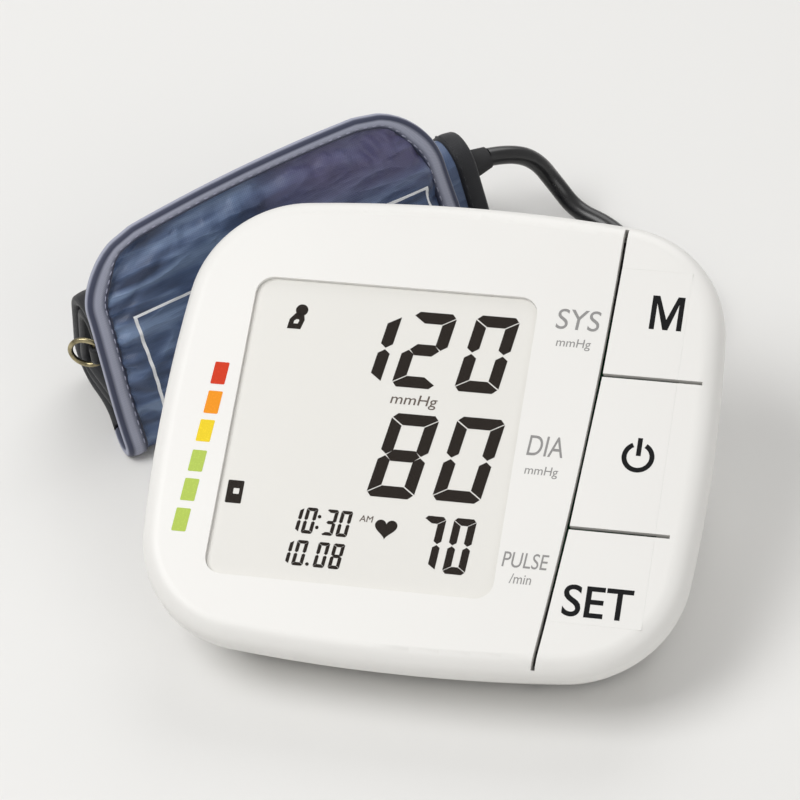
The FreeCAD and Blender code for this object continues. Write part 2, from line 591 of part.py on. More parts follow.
def rear_housing():
    body = named_body("rear_housing", DESK)
    skirt = pad(body, base_outline(body, "base_outline", "0", "foot_gap"), "skirt_height")
    floor = value("foot_gap")
    fillet(body, skirt, lambda p: abs(p.z - floor) < 0.001, "base_edge_radius")
    loft(body, "AdditiveLoft", base_outline(body, "skirt_top", "0", "foot_gap + skirt_height"),
         seam_outline(body, "seam_outline", "seam_inset"))
    loft(body, "SubtractiveLoft", base_outline(body, "base_hollow", "wall", "foot_gap + wall"),
         seam_outline(body, "seam_hollow", "seam_inset + wall"))
    lip = seam_outline(body, "seam_lip", "wall + fit_gap", "wall + fit_gap + lip_wall",
                       depth="cover_depth - lip_height")
    pad(body, lip, "lip_height + lip_root", reverse=True)
    upstands(body)
    openings(body)


def upstands(body):
    """What stands on the floor inside: the battery bay's walls, the screw wells and the socket's collar."""
    walls = new_sketch(body, "bay_walls", offset=frame(z="foot_gap + wall / 2"))
    rectangle(walls, f"{BAY_LEFT} - bay_wall", "bay_front - bay_wall", f"{BAY_RIGHT} + bay_wall",
              f"{BAY_BACK} + bay_wall")
    pad(body, walls, "bay_height + bay_wall - wall / 2")
    for i, (x, y) in enumerate(SCREWS, 1):
        well = new_sketch(body, f"well_{i}", offset=frame(z="foot_gap + wall / 2"))
        circle(well, x, y, "well_radius")
        pad(body, well, f"{well_top(y)} - foot_gap - wall / 2")
    collar = new_sketch(body, "socket_collar", "XZ_Plane", frame(z="-collar_back"))
    circle(collar, "socket_x", "socket_z", "collar_radius")
    pad(body, collar, "collar_length")


def openings(body):
    """What is cut through: the battery bay and its door's seat, screw wells, foot seats and the two sockets."""
    bay = new_sketch(body, "bay", offset=frame(z="foot_gap"))
    rectangle(bay, BAY_LEFT, "bay_front", BAY_RIGHT, BAY_BACK)
    pocket(body, bay, "bay_height", reverse=True)
    step = new_sketch(body, "door_step", offset=frame(z="foot_gap"))
    rectangle(step, f"{BAY_LEFT} - door_margin", "bay_front - door_margin", f"{BAY_RIGHT} + door_margin",
              f"{BAY_BACK} + door_margin")
    pocket(body, step, "door_thickness", reverse=True)
    for side in "-+":
        slot = new_sketch(body, "tab_slot_left" if side == "-" else "tab_slot_right", offset=frame(z="foot_gap + tab_skin"))
        middle = f"bay_middle {side} tab_spread"
        rectangle(slot, f"{middle} - tab_width / 2 - fit_gap", "bay_front - door_margin - tab_reach - fit_gap",
                  f"{middle} + tab_width / 2 + fit_gap", "bay_front")
        pocket(body, slot, "wall - tab_skin", reverse=True)
    for i, (x, y) in enumerate(SCREWS, 1):
        bore = new_sketch(body, f"well_bore_{i}", offset=frame(z="foot_gap"))
        circle(bore, x, y, "well_bore")
        pocket(body, bore, f"{well_top(y)} - foot_gap - 1.8", reverse=True)
        hole = new_sketch(body, f"screw_hole_{i}", offset=frame(z="foot_gap"))
        circle(hole, x, y, "screw_hole_radius")
        pocket(body, hole, f"{well_top(y)} - foot_gap + 1", reverse=True)
    seats = new_sketch(body, "foot_seats", offset=frame(z="foot_gap"))
    for x, y in FEET:
        circle(seats, x, y, "foot_radius + fit_gap")
    pocket(body, seats, "foot_seat", reverse=True)
    socket = new_sketch(body, "socket_hole", "XZ_Plane", frame(z="-collar_back - 2"))
    circle(socket, "socket_x", "socket_z", "socket_radius + fit_gap")
    pocket(body, socket, "collar_length + 10", reverse=True)
    jack = new_sketch(body, "jack_hole", "XZ_Plane", frame(z=f"-{JACK_BACK} - 8"))
    rectangle(jack, "jack_x - jack_width / 2 - fit_gap", "jack_z - jack_height / 2 - fit_gap",
              "jack_x + jack_width / 2 + fit_gap", "jack_z + jack_height / 2 + fit_gap")
    pocket(body, jack, "16", reverse=True)


def feet_and_screws():
    for i, (x, y) in enumerate(FEET, 1):
        body = named_body(f"foot_{i}", frame(x, y, 0, parent=DESK))
        turned(body, [("0", "0"), ("foot_radius - 0.6", "0"), ("foot_radius", "0.6"),
                      ("foot_radius", "foot_gap + foot_seat"), ("0", "foot_gap + foot_seat")])
    screws = []
    for i, (x, y) in enumerate(SCREWS, 1):
        seat = f"({well_top(y)} - 1.8)"
        head = rod(f"screw_head_{i}", "screw_head_radius", "screw_head_height", (x, y, f"{seat} - screw_head_height"),
                   DESK)
        shank = rod(f"screw_shank_{i}", "screw_radius", "9.6", (x, y, seat), DESK)
        screws.append(fuse(f"screw_{i}", [head, shank]))
    name_node(group("housing_screws", screws), "housing_screws")


# ---------------------------------------------------------------- batteries

CELL_Z = "(foot_gap + door_thickness + cell_play + cell_radius)"


def batteries():
    plates, springs = [], []
    for i in range(4):
        x = f"(bay_middle + {i - 1.5} * cell_pitch)"
        nib_back = i % 2 == 0
        start = "(bay_front + contact_thickness" + (" + spring_length)" if nib_back else ")")
        can_start = start if nib_back else f"({start} + nib_rise)"
        can = rod(f"cell_can_{i + 1}", "cell_radius", "cell_length - nib_rise", (x, can_start, CELL_Z), DESK, (0, 1, 0))
        nib_start = f"{start} + cell_length - nib_rise" if nib_back else start
        nib = rod(f"cell_nib_{i + 1}", "nib_radius", "nib_rise", (x, nib_start, CELL_Z), DESK, (0, 1, 0))
        name_node(fuse(f"battery_cell_{i + 1}", [can, nib]), f"battery_cell_{i + 1}")
        for side, y in (("front", "bay_front"), ("back", f"{BAY_BACK} - contact_thickness")):
            plates.append(box(f"contact_{side}_{i + 1}", ("contact_width", "contact_thickness", "contact_width"),
                              (f"{x} - contact_width / 2", y, f"{CELL_Z} - contact_width / 2"), DESK))
        springs.append(spring(x, nib_back))
    name_node(group("battery_contacts", plates), "battery_contacts")
    item = doc.addObject("Part::Feature", "battery_springs")
    item.Shape = Part.makeCompound(springs)
    item.Placement = DESK
    name_node(item, "battery_springs")
    battery_door()


def spring(x, at_front):
    """A conical spring from its contact plate to the flat end of a cell; its fine wire is drawn with flats."""
    foot, tip, wire, length, turns = values("spring_foot_radius", "spring_tip_radius", "spring_wire",
                                            "spring_length", "spring_turns")
    rise = length - 2 * wire
    slope = math.degrees(math.atan((foot - tip) / rise))
    helix = Part.makeHelix(rise / turns, rise, foot, -slope)
    flats = round(value("spring_flats"))
    corners = [V(foot + wire * math.cos(2 * math.pi * i / flats), 0, wire * math.sin(2 * math.pi * i / flats))
               for i in range(flats)]
    profile = Part.makePolygon(corners + corners[:1])
    coil = Part.Wire(helix.Edges).makePipeShell([profile], True, True)
    y = "bay_front + contact_thickness + spring_wire" if at_front else f"{BAY_BACK} - contact_thickness - spring_wire"
    coil.Placement = frame(x, y, CELL_Z, (1, 0, 0), -90 if at_front else 90)
    return coil


def battery_door():
    body = named_body("battery_door", DESK)
    sketch = new_sketch(body, "door_outline", offset=frame(z="foot_gap"))
    edge = "door_margin - door_gap"
    rectangle(sketch, f"{BAY_LEFT} - ({edge})", f"bay_front - ({edge})", f"{BAY_RIGHT} + {edge}", f"{BAY_BACK} + {edge}")
    pad(body, sketch, "door_thickness - 0.1")
    for side in "-+":
        tab = new_sketch(body, "door_tab_left" if side == "-" else "door_tab_right",
                         offset=frame(z="foot_gap + tab_skin + 0.1"))
        middle = f"bay_middle {side} tab_spread"
        rectangle(tab, f"{middle} - tab_width / 2", f"bay_front - ({edge}) - tab_reach", f"{middle} + tab_width / 2",
                  "bay_front")
        pad(body, tab, "door_thickness - tab_skin - 0.2")
    for i in range(3):
        grip = new_sketch(body, f"door_grip_{i + 1}", offset=frame(z="foot_gap"))
        y = f"{BAY_BACK} - 4 - {i} * 2 * grip_pitch"
        rectangle(grip, "bay_middle - grip_width / 2", f"{y} - grip_pitch", "bay_middle + grip_width / 2", y)
        pocket(body, grip, "grip_depth", reverse=True)


# ---------------------------------------------------------------- pump, valve and air path

PUMP_RIGHT = "(pump_left + pump_motor_length + pump_head_length)"
VALVE_TOP = "(foot_gap + wall + valve_height)"
SOCKET_ELBOW_Y = "(collar_back - socket_depth - manifold_radius + 0.6)"
FACE_NORMAL = (0, -math.sin(math.radians(value("face_tilt"))), math.cos(math.radians(value("face_tilt"))))


def air_path():
    motor = named_body("air_pump_motor", frame("pump_left", "pump_y", "pump_z", (0, 1, 0), 90, DESK))
    turned(motor, [("0", "0"), ("pump_motor_radius - 3", "0"), ("pump_motor_radius - 3", "1.2"),
                   ("pump_motor_radius - 1", "1.2"), ("pump_motor_radius", "2.2"),
                   ("pump_motor_radius", "pump_motor_length"), ("0", "pump_motor_length")])
    head = rod("pump_head_block", "pump_radius", "pump_head_length",
               ("pump_left + pump_motor_length", "pump_y", "pump_z"), DESK, (1, 0, 0))
    outlet = rod("pump_outlet", "port_radius", "port_length", (PUMP_RIGHT, "pump_y", MANIFOLD_Z), DESK, (1, 0, 0))
    name_node(fuse("air_pump_head", [head, outlet]), "air_pump_head")
    bay_roof = "(foot_gap + bay_height + bay_wall)"
    cradle = box("cradle_block", ("cradle_width", "2 * pump_radius + 2 * cradle_wall", f"pump_z - cradle_drop - {bay_roof}"),
                 ("pump_left + pump_motor_length + 6", "pump_y - pump_radius - cradle_wall", bay_roof), DESK)
    trough = rod("cradle_trough", "pump_radius + 0.05", "cradle_width + 4",
                 ("pump_left + pump_motor_length + 4", "pump_y", "pump_z"), DESK, (1, 0, 0))
    name_node(cut("pump_cradle", cradle, [trough]), "pump_cradle")
    case = box("valve_case", ("valve_width", "valve_depth", "valve_height"),
               ("valve_x - valve_width / 2", "pump_y - valve_depth / 2", "foot_gap + wall"), DESK)
    port = rod("valve_port", "port_radius", "port_length", ("valve_x", "pump_y", VALVE_TOP), DESK)
    name_node(fuse("release_valve", [case, port]), "release_valve")
    manifold()
    inner_tubes()
    air_socket()
    dc_socket()


def manifold():
    centre = ("manifold_x", "pump_y", MANIFOLD_Z)
    reach = "manifold_radius + nipple_length"
    barrel = rod("manifold_barrel", "manifold_radius", "2 * nipple_length",
                 ("manifold_x - nipple_length", "pump_y", MANIFOLD_Z), DESK, (1, 0, 0))
    through = rod("manifold_side_nipples", "port_radius", "4 * nipple_length",
                  ("manifold_x - 2 * nipple_length", "pump_y", MANIFOLD_Z), DESK, (1, 0, 0))
    back = rod("manifold_back_nipple", "port_radius", reach, centre, DESK, (0, 1, 0))
    upper = rod("manifold_upper_nipple", "port_radius", "manifold_radius + nipple_length - 1", centre, DESK, FACE_NORMAL)
    name_node(fuse("air_manifold", [barrel, through, back, upper]), "air_manifold")


def inner_tubes():
    """Soft tubes pushed over the nipples: from the pump, to the sensor, to the valve and to the socket."""
    x, y, z, valve_x, valve_top, pump_right, elbow_y, socket_x, socket_z = values(
        "manifold_x", "pump_y", MANIFOLD_Z, "valve_x", VALVE_TOP, PUMP_RIGHT, SOCKET_ELBOW_Y, "socket_x", "socket_z")
    side = value("nipple_length") + 0.2
    rim = value("manifold_radius") + 0.2
    normal = V(*FACE_NORMAL)
    centre = V(x, y, z)
    sensor_base = value(f"{UNDER_BOARD} - sensor_height - {MANIFOLD_W}") - 0.2
    run, lift, reach = values("socket_tube_run", "socket_tube_lift", "socket_tube_reach")
    routes = [
        [V(pump_right + 0.2, y, z), V(x - side, y, z)],
        [centre + normal * rim, centre + normal * sensor_base],
        [V(x + side, y, z), V(valve_x, y, z), V(valve_x, y, valve_top + 0.2)],
        [V(x, y + rim, z), V(x, y + run, z), V(x - lift / 2, elbow_y, z + lift), V(x - reach, elbow_y + 0.5, socket_z),
         V(socket_x + rim, elbow_y, socket_z)],
    ]
    item = doc.addObject("Part::Feature", "inner_tubes")
    item.Shape = Part.makeCompound([tube(route, "tube_radius", "port_radius") for route in routes])
    item.Placement = DESK
    name_node(item, "inner_tubes")


def air_socket():
    place = frame("socket_x", "collar_back", "socket_z", (1, 0, 0), -90, DESK)
    body = new_body("socket_barrel", place)
    turned(body, [("socket_bore", "flange_thickness"), ("flange_radius - 0.5", "flange_thickness"),
                  ("flange_radius", "flange_thickness - 0.5"), ("flange_radius", "0"), ("socket_radius", "0"),
                  ("socket_radius", "-socket_depth"), ("manifold_radius", "-socket_depth"),
                  ("manifold_radius", "-socket_depth - elbow_length"), ("0", "-socket_depth - elbow_length"),
                  ("0", "-socket_depth + 1.5"), ("socket_bore", "-socket_depth + 1.5")])
    nipple = rod("socket_nipple", "port_radius", "manifold_radius + nipple_length",
                 ("socket_x", SOCKET_ELBOW_Y, "socket_z"), DESK, (1, 0, 0))
    name_node(fuse("air_socket", [body, nipple]), "air_socket")


def dc_socket():
    block = box("jack_block", ("jack_width", "jack_depth", "jack_height"),
                ("jack_x - jack_width / 2", f"{JACK_BACK} - jack_depth", "jack_z - jack_height / 2"), DESK)
    bore = rod("jack_bore_cut", "jack_bore", "jack_depth", ("jack_x", f"{JACK_BACK} - jack_depth + 3", "jack_z"), DESK,
               (0, 1, 0))
    pin = rod("jack_centre_pin", "jack_pin", "jack_depth - 4", ("jack_x", f"{JACK_BACK} - jack_depth + 2.5", "jack_z"),
              DESK, (0, 1, 0))
    name_node(fuse("dc_socket", [cut("jack_housing", block, [bore]), pin]), "dc_socket")


# ---------------------------------------------------------------- cuff

def roll_rounds(inset):
    """The three circles whose hull is the roll's section, each smaller by the inset: foot, back and crown."""
    standoff = "(flap_thickness + hook_thickness + 2 * wrap_clearance)"

    def behind_flap(radius, z):
        return f"({standoff} + {radius}) / cos(roll_lean) + ({z}) * tan(roll_lean)"

    return [(behind_flap("foot_roll_radius", "foot_roll_radius"), "foot_roll_radius", f"foot_roll_radius - ({inset})"),
            ("roll_depth - back_radius", "back_radius", f"back_radius - ({inset})"),
            (behind_flap("crown_radius", "roll_height - crown_radius"), "roll_height - crown_radius",
             f"crown_radius - ({inset})")]


def wrap_layer(node, width, outer_inset, inner_inset=None):
    body = named_body(node, frame("roll_shift", 0, 0, parent=CUFF))
    sketch = new_sketch(body, node + "_section", "YZ_Plane")
    hull(sketch, roll_rounds(outer_inset))
    if inner_inset:
        hull(sketch, roll_rounds(inner_inset))
    else:
        half, middle = "core_slit_length / 2", "(roll_depth / 2 + core_slit_shift)"
        rounded_rectangle(sketch, f"({middle} - {half})", "(core_slit_z - core_slit_height / 2)", f"({middle} + {half})",
                          "(core_slit_z + core_slit_height / 2)", "(core_slit_height / 2 - 0.2)")
    pad(body, sketch, width, midplane=True)


def cuff():
    wrap_layer("cuff_outer_wrap", "roll_width", "0", "outer_wrap_wall")
    wrap_layer("air_bladder", "bladder_width", "outer_wrap_wall + wrap_clearance",
               "outer_wrap_wall + wrap_clearance + bladder_wall")
    wrap_layer("cuff_inner_wrap", "inner_wrap_width", "outer_wrap_wall + 2 * wrap_clearance + bladder_wall")
    panel = frame("flap_shift", 0, 0, (1, 0, 0), "90 - roll_lean", CUFF)
    flap = named_body("cuff_flap", panel)
    pad(flap, flap_outline(flap, "flap_outline", "0", "-flap_thickness"), "flap_thickness")
    band = new_body("binding_band", panel)
    pad(band, flap_outline(band, "binding_outside", "binding_reach", "-flap_thickness - binding_skin"),
        "flap_thickness + 2 * binding_skin")
    pocket(band, flap_outline(band, "binding_inside", "-binding_cover", "binding_skin"), "flap_thickness * 2")
    name_node(cut("flap_binding", band, [flap]), "flap_binding")
    hook = box("hook_patch", ("hook_width", "hook_height", "hook_thickness"),
               ("-hook_width / 2", "flap_bottom + hook_rise", "-flap_thickness - hook_thickness - wrap_clearance / 2"),
               panel)
    name_node(hook, "hook_patch")
    cuff_ring()


def flap_outline(body, name, grow, height):
    sketch = new_sketch(body, name, offset=frame(z=height))
    rounded_rectangle(sketch, f"(-flap_width / 2 - ({grow}))", f"(flap_bottom - ({grow}))",
                      f"(flap_width / 2 + {grow})", f"(flap_top + {grow})", f"(flap_radius + {grow})")
    return sketch


def cuff_ring():
    """A wire ring with a straight bar, which turns in a webbing loop at the roll's left end."""
    bar_x = "roll_shift - roll_width / 2 - loop_reach"
    below = "ring_z - loop_height / 2"
    loop = rod("web_loop", "loop_radius", "loop_height", (bar_x, "ring_y", below), CUFF)
    tail = box("web_tail", ("loop_reach", "loop_tail", "loop_height"), (bar_x, "ring_y - loop_tail / 2", below), CUFF)
    eye = rod("web_eye", "ring_wire_radius + fit_gap", "loop_height + 2", (bar_x, "ring_y", f"{below} - 1"), CUFF)
    name_node(cut("ring_loop", fuse("web_loop_and_tail", [loop, tail]), [eye]), "ring_loop")
    place = frame(bar_x, "ring_y", "ring_z", (0, 0, 1), "-cuff_turn", CUFF)
    bar = rod("ring_bar", "ring_wire_radius", "ring_bar", ("0", "0", "-ring_bar / 2"), place)
    radius = "((ring_reach ^ 2 + (ring_bar / 2) ^ 2) / (2 * ring_reach))"
    half_gap = math.degrees(math.atan2(value("ring_bar / 2"), value(f"ring_reach - {radius}")))
    bow = doc.addObject("Part::Torus", "ring_bow")
    bow.setExpression("Radius1", bound(radius))
    bow.setExpression("Radius2", bound("ring_wire_radius"))
    bow.Angle3 = 360 - 2 * half_gap
    bow.Placement = place.multiply(frame(f"{radius} - ring_reach", 0, 0, (1, 0, 0), 90)).multiply(
        frame(axis=(0, 0, 1), turn=half_gap))
    ends = []
    for name, z in (("ring_lower_bend", "-ring_bar / 2"), ("ring_upper_bend", "ring_bar / 2")):
        bend = doc.addObject("Part::Sphere", name)
        bend.setExpression("Radius", bound("ring_wire_radius"))
        bend.Placement = place.multiply(frame(z=z))
        ends.append(bend)
    name_node(fuse("cuff_ring", [bar, bow] + ends), "cuff_ring")


# ---------------------------------------------------------------- hose

def route_wire(points):
    """Straight runs joined by tangent arcs, each as large as its two runs allow."""
    edges, start = [], points[0]
    for before, corner, after in zip(points, points[1:], points[2:]):
        back, ahead = before - corner, after - corner
        trim = 0.45 * min(back.Length, ahead.Length)
        half_turn = (math.pi - back.getAngle(ahead)) / 2
        radius = trim / math.tan(half_turn)
        print(f"   arc radius {radius:6.1f}  turn {math.degrees(2 * half_turn):5.1f}")
        back.normalize(), ahead.normalize()
        enter, leave = corner + back * trim, corner + ahead * trim
        inward = (back + ahead).normalize()
        middle = corner + inward * (radius / math.cos(half_turn) - radius)
        edges += [Part.LineSegment(start, enter).toShape(), Part.Arc(enter, middle, leave).toShape()]
        start = leave
    edges.append(Part.LineSegment(start, points[-1]).toShape())
    return Part.Wire(edges)


def tube(points, radius, bore=None):
    """A round tube along a route, hollow where a bore is given."""
    wire = route_wire(points)

    def sweep(size):
        ring = Part.Wire(Part.makeCircle(value(size), points[0], points[1] - points[0]))
        return wire.makePipeShell([ring], True, False)

    return sweep(radius).cut(sweep(bore)) if bore else sweep(radius)


def hose_tube(node, points):
    print(node)
    item = doc.addObject("Part::Feature", node)
    item.Shape = tube(points, "hose_radius")
    item.Placement = DESK
    name_node(item, node)


def coil_point(radius, degrees, z):
    """A point of the coil's turns, in the DESK frame."""
    angle = math.radians(degrees)
    return V(value("coil_x") + radius * math.cos(angle), value("coil_y") + radius * math.sin(angle), z)


def run_route(start):
    """From the grommet down to the table and into the coil's outer turn, which it meets along a tangent."""
    outer, radius, overlap = values("coil_outer", "hose_radius", "run_overlap")
    touch = coil_point(outer, 45, radius)
    return [start] + [V(*point) for point in HOSE_RUN] + [touch + V(-1, 1).normalize() * overlap]


def tail_route(start):
    """From the plug's sleeve down onto the coil's upper turns."""
    points = [start] + [V(*point) for point in HOSE_TAIL]
    outer, inner, radius, rise, overlap = values("coil_outer", "coil_inner", "hose_radius", "coil_rise",
                                                 "tail_overlap")
    landing = coil_point((outer + inner) / 2, -95, radius + rise)
    return points + [landing + (points[-1] - landing).normalize() * overlap]


def hose():
    exit_frame = frame("roll_shift + inner_wrap_width / 2", "roll_depth / 2 + hose_exit_shift", "hose_exit_z",
                       (0, 1, 0), 90, CUFF)
    grommet = named_body("hose_grommet", exit_frame)
    turned(grommet, [("0", "0"), ("grommet_radius", "0"), ("grommet_radius", "1.5"),
                     ("hose_radius + 0.5", "grommet_length"), ("0", "grommet_length")])
    coil = named_body("air_hose_coil", frame("coil_x", "coil_y", 0, parent=DESK))
    inside, outside = "(coil_inner - hose_radius)", "(coil_outer + hose_radius)"
    top, shoulder = "(2 * hose_radius + coil_rise)", "(2 * hose_radius - 1)"
    turned(coil, [(inside, "0.8"), (f"{inside} + 0.8", "0"), (f"{outside} - 0.8", "0"), (outside, "0.8"),
                  (outside, shoulder), (f"{outside} - hose_radius", top), (f"{inside} + hose_radius", top),
                  (inside, shoulder)])
    to_desk = DESK.inverse()
    start = to_desk.multiply(exit_frame).multVec(V(0, 0, value("grommet_length")))
    hose_tube("air_hose_run", run_route(start))
    plug_place = frame("socket_x", "collar_back + flange_thickness + plug_standoff", "socket_z", parent=DESK)
    tail_frame = plug_place.multiply(frame(axis=(0, 1, 0), turn="90 + plug_tail_turn"))
    air_plug(plug_place, tail_frame)
    tail_start = to_desk.multiply(tail_frame).multVec(V(0, 0, value("plug_tail_length")))
    hose_tube("air_hose_tail", tail_route(tail_start))


def air_plug(place, tail_frame):
    """An elbow plug: a body on the socket's axis, its nozzle in the socket and a tapered sleeve for the hose."""
    reach = "(plug_standoff - 2 * fit_gap)"
    body = rod("plug_body", "plug_radius", f"{reach} + plug_radius", ("0", f"-{reach}", "0"), place, (0, 1, 0))
    nozzle = rod("plug_nozzle", "plug_nozzle_radius", "plug_nozzle_length + 1",
                 ("0", "-plug_standoff - plug_nozzle_length", "0"), place, (0, 1, 0))
    sleeve = doc.addObject("Part::Cone", "plug_sleeve")
    sleeve.setExpression("Radius1", bound("plug_radius - 0.4"))
    sleeve.setExpression("Radius2", bound("hose_radius + 0.6"))
    sleeve.setExpression("Height", bound("plug_tail_length"))
    sleeve.Placement = tail_frame
    name_node(fuse("air_plug", [body, nozzle, sleeve]), "air_plug")


def write_parts():
    doc.recompute()
    for item in doc.Objects:
        if "Invalid" in item.State or "Error" in item.State:
            raise RuntimeError(f"{item.Label}: {item.State}")
    for node, item in NODES.items():
        if item.Shape.isNull() or not item.Shape.isValid():
            raise RuntimeError(node + ": no valid shape")
    os.makedirs("parts", exist_ok=True)
    for node, item in NODES.items():
        item.Shape.exportStep(f"parts/{node}.step")
        print(f"{node:18s} solids {len(item.Shape.Solids)}  volume {item.Shape.Volume:9.1f}")


front_housing()
display()
keys()
board()
rear_housing()
feet_and_screws()
batteries()
air_path()
cuff()
hose()
write_parts()
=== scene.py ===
"""Finishes, printed legends, cuff and hose of a tabletop upper-arm blood pressure monitor, in metres."""
import math

import bpy
import numpy as np
from mathutils import Matrix, Vector


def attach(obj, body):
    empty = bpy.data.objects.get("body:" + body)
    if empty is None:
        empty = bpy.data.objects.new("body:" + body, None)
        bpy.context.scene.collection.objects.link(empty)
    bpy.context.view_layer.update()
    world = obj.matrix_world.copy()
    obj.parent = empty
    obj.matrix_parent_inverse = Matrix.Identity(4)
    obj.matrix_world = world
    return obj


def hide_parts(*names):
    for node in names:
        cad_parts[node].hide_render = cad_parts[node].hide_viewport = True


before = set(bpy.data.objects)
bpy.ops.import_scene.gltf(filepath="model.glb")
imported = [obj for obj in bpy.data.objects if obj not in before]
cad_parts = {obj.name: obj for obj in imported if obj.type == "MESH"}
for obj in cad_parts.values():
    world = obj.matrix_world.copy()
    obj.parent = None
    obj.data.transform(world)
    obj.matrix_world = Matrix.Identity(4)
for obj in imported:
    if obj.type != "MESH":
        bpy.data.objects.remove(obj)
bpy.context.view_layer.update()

bl_info = {
    "name": "Arm blood pressure monitor",
    "version": (1, 0, 0),
    "blender": (4, 5, 0),
    "location": "View3D > Sidebar > Monitor",
    "description": "Makes the finishes, legends, cuff and hose of an arm blood pressure monitor",
    "category": "Object",
}

# ---------------------------------------------------------------- where things are

MM = 0.001
UNIT = np.array((0.02025, -0.03506, 0.0))
FRONT_RISE, HALF_FACE = 0.021, 0.0607
TILT = math.radians(22.0)
LEAN = math.radians(22.8)
CUFF_TURN = math.radians(41.0)
X_AXIS, Y_AXIS, Z_AXIS = np.eye(3)


class Place:
    """A frame: where it stands and its three axes. at() gives world points from its own."""

    def __init__(self, origin, x, y, z):
        self.origin, self.axes = np.asarray(origin, float), np.array((x, y, z), float)

    def at(self, points):
        return self.origin + np.asarray(points, float) @ self.axes


FACE = Place(UNIT + Z_AXIS * (FRONT_RISE + HALF_FACE * math.sin(TILT)), X_AXIS,
             Y_AXIS * math.cos(TILT) + Z_AXIS * math.sin(TILT),
             Z_AXIS * math.cos(TILT) - Y_AXIS * math.sin(TILT))
FILM_LEVEL = -0.00112
FILM = Place(FACE.at((-0.0005, 0.0007, FILM_LEVEL)), *FACE.axes)
ALONG_ROLL = X_AXIS * math.cos(CUFF_TURN) + Y_AXIS * math.sin(CUFF_TURN)
BEHIND_ROLL = Y_AXIS * math.cos(CUFF_TURN) - X_AXIS * math.sin(CUFF_TURN)
CUFF = Place(UNIT + np.array((-0.0423, 0.05373, 0.0)), ALONG_ROLL, BEHIND_ROLL, Z_AXIS)
INK_DEPTH = 0.00003

# ---------------------------------------------------------------- meshes


def add_mesh(name, points, faces, smooth=True, uv=None):
    """A mesh object from points, faces and, where given, one UV pair per point."""
    mesh = bpy.data.meshes.new(name)
    mesh.from_pydata(np.asarray(points, float).reshape(-1, 3).tolist(), [], np.asarray(faces).tolist()
                     if isinstance(faces, np.ndarray) else faces)
    mesh.polygons.foreach_set("use_smooth", np.full(len(mesh.polygons), smooth))
    if uv is not None:
        corner = np.empty(len(mesh.loops), np.int32)
        mesh.loops.foreach_get("vertex_index", corner)
        layer = mesh.uv_layers.new(name="UVMap")
        layer.uv.foreach_set("vector", np.asarray(uv, float).reshape(-1, 2)[corner].ravel())
    mesh.update()
    item = bpy.data.objects.new(name, mesh)
    bpy.context.scene.collection.objects.link(item)
    return item


def grid_faces(rows, columns, round_rows=False):
    """The quads of a grid of points, with each row's last point joined to its first where asked."""
    i, j = np.meshgrid(np.arange(rows - 1), np.arange(columns if round_rows else columns - 1), indexing="ij")
    i, j = i.ravel(), j.ravel()
    k, m = i + 1, (j + 1) % columns
    return np.stack((i * columns + j, i * columns + m, k * columns + m, k * columns + j), 1)


def tube_mesh(name, rings, uv):
    """A skin over rings of points, shape (rings, points in a ring, 3), with flat ends."""
    rows, columns = rings.shape[:2]
    ends = [list(range(columns))[::-1], list(range((rows - 1) * columns, rows * columns))]
    return add_mesh(name, rings, grid_faces(rows, columns, True).tolist() + ends, True, uv)


def slab(outline, place, low, high):
    """Points and faces of a flat plate: an outline in a place's own plane, raised from low to high."""
    outline = np.asarray(outline, float)
    count = len(outline)
    area = np.sum(outline[:, 0] * np.roll(outline[:, 1], -1) - outline[:, 1] * np.roll(outline[:, 0], -1))
    if area < 0:
        outline = outline[::-1]
    layers = [np.column_stack((outline, np.full(count, height))) for height in (low, high)]
    i = np.arange(count)
    j = (i + 1) % count
    side = np.stack((i, j, count + j, count + i), 1)
    return place.at(np.vstack(layers)), [i[::-1].tolist(), (count + i).tolist()] + side.tolist()


def ring_plate(outer, inner, place, low, high):
    """Points and faces of a flat plate with one hole, between two outlines of as many points each: four loops
    of points, the outer and the inner one low and then high, and four bands of quads between them."""
    count = len(outer)
    loops = [np.column_stack((line, np.full(count, height)))
             for height in (low, high) for line in (outer, inner)]
    i = np.arange(count)
    j = (i + 1) % count
    bands = ((2 * count + i, 2 * count + j, 3 * count + j, 3 * count + i), (i, count + i, count + j, j),
             (i, j, 2 * count + j, 2 * count + i), (count + j, count + i, 3 * count + i, 3 * count + j))
    return place.at(np.vstack(loops)), band_faces(bands)


def band_faces(bands):
    """The quads of several bands, each given as its four rows of corner numbers: one of each band in turn."""
    return np.stack([np.stack(band, 1) for band in bands], 1).reshape(-1, 4).tolist()


def join_plates(name, plates):
    """One object from several plates, each a pair of points and faces."""
    points, faces, first = [], [], 0
    for own_points, own_faces in plates:
        points.append(own_points)
        faces += [[first + i for i in face] for face in own_faces]
        first += len(own_points)
    return add_mesh(name, np.vstack(points), faces, smooth=False)


def arc(centre_x, centre_y, radius, start, stop, count=24):
    """Points of a circle's arc, from one angle to another, in degrees."""
    angle = np.radians(np.linspace(start, stop, count))
    return np.column_stack((centre_x + radius * np.cos(angle), centre_y + radius * np.sin(angle)))


def rounded(left, bottom, right, top, radius, count=8):
    """A rectangle's outline with its corners rounded by quarter circles."""
    return np.vstack((arc(right - radius, bottom + radius, radius, -90, 0, count),
                      arc(right - radius, top - radius, radius, 0, 90, count),
                      arc(left + radius, top - radius, radius, 90, 180, count),
                      arc(left + radius, bottom + radius, radius, 180, 270, count)))


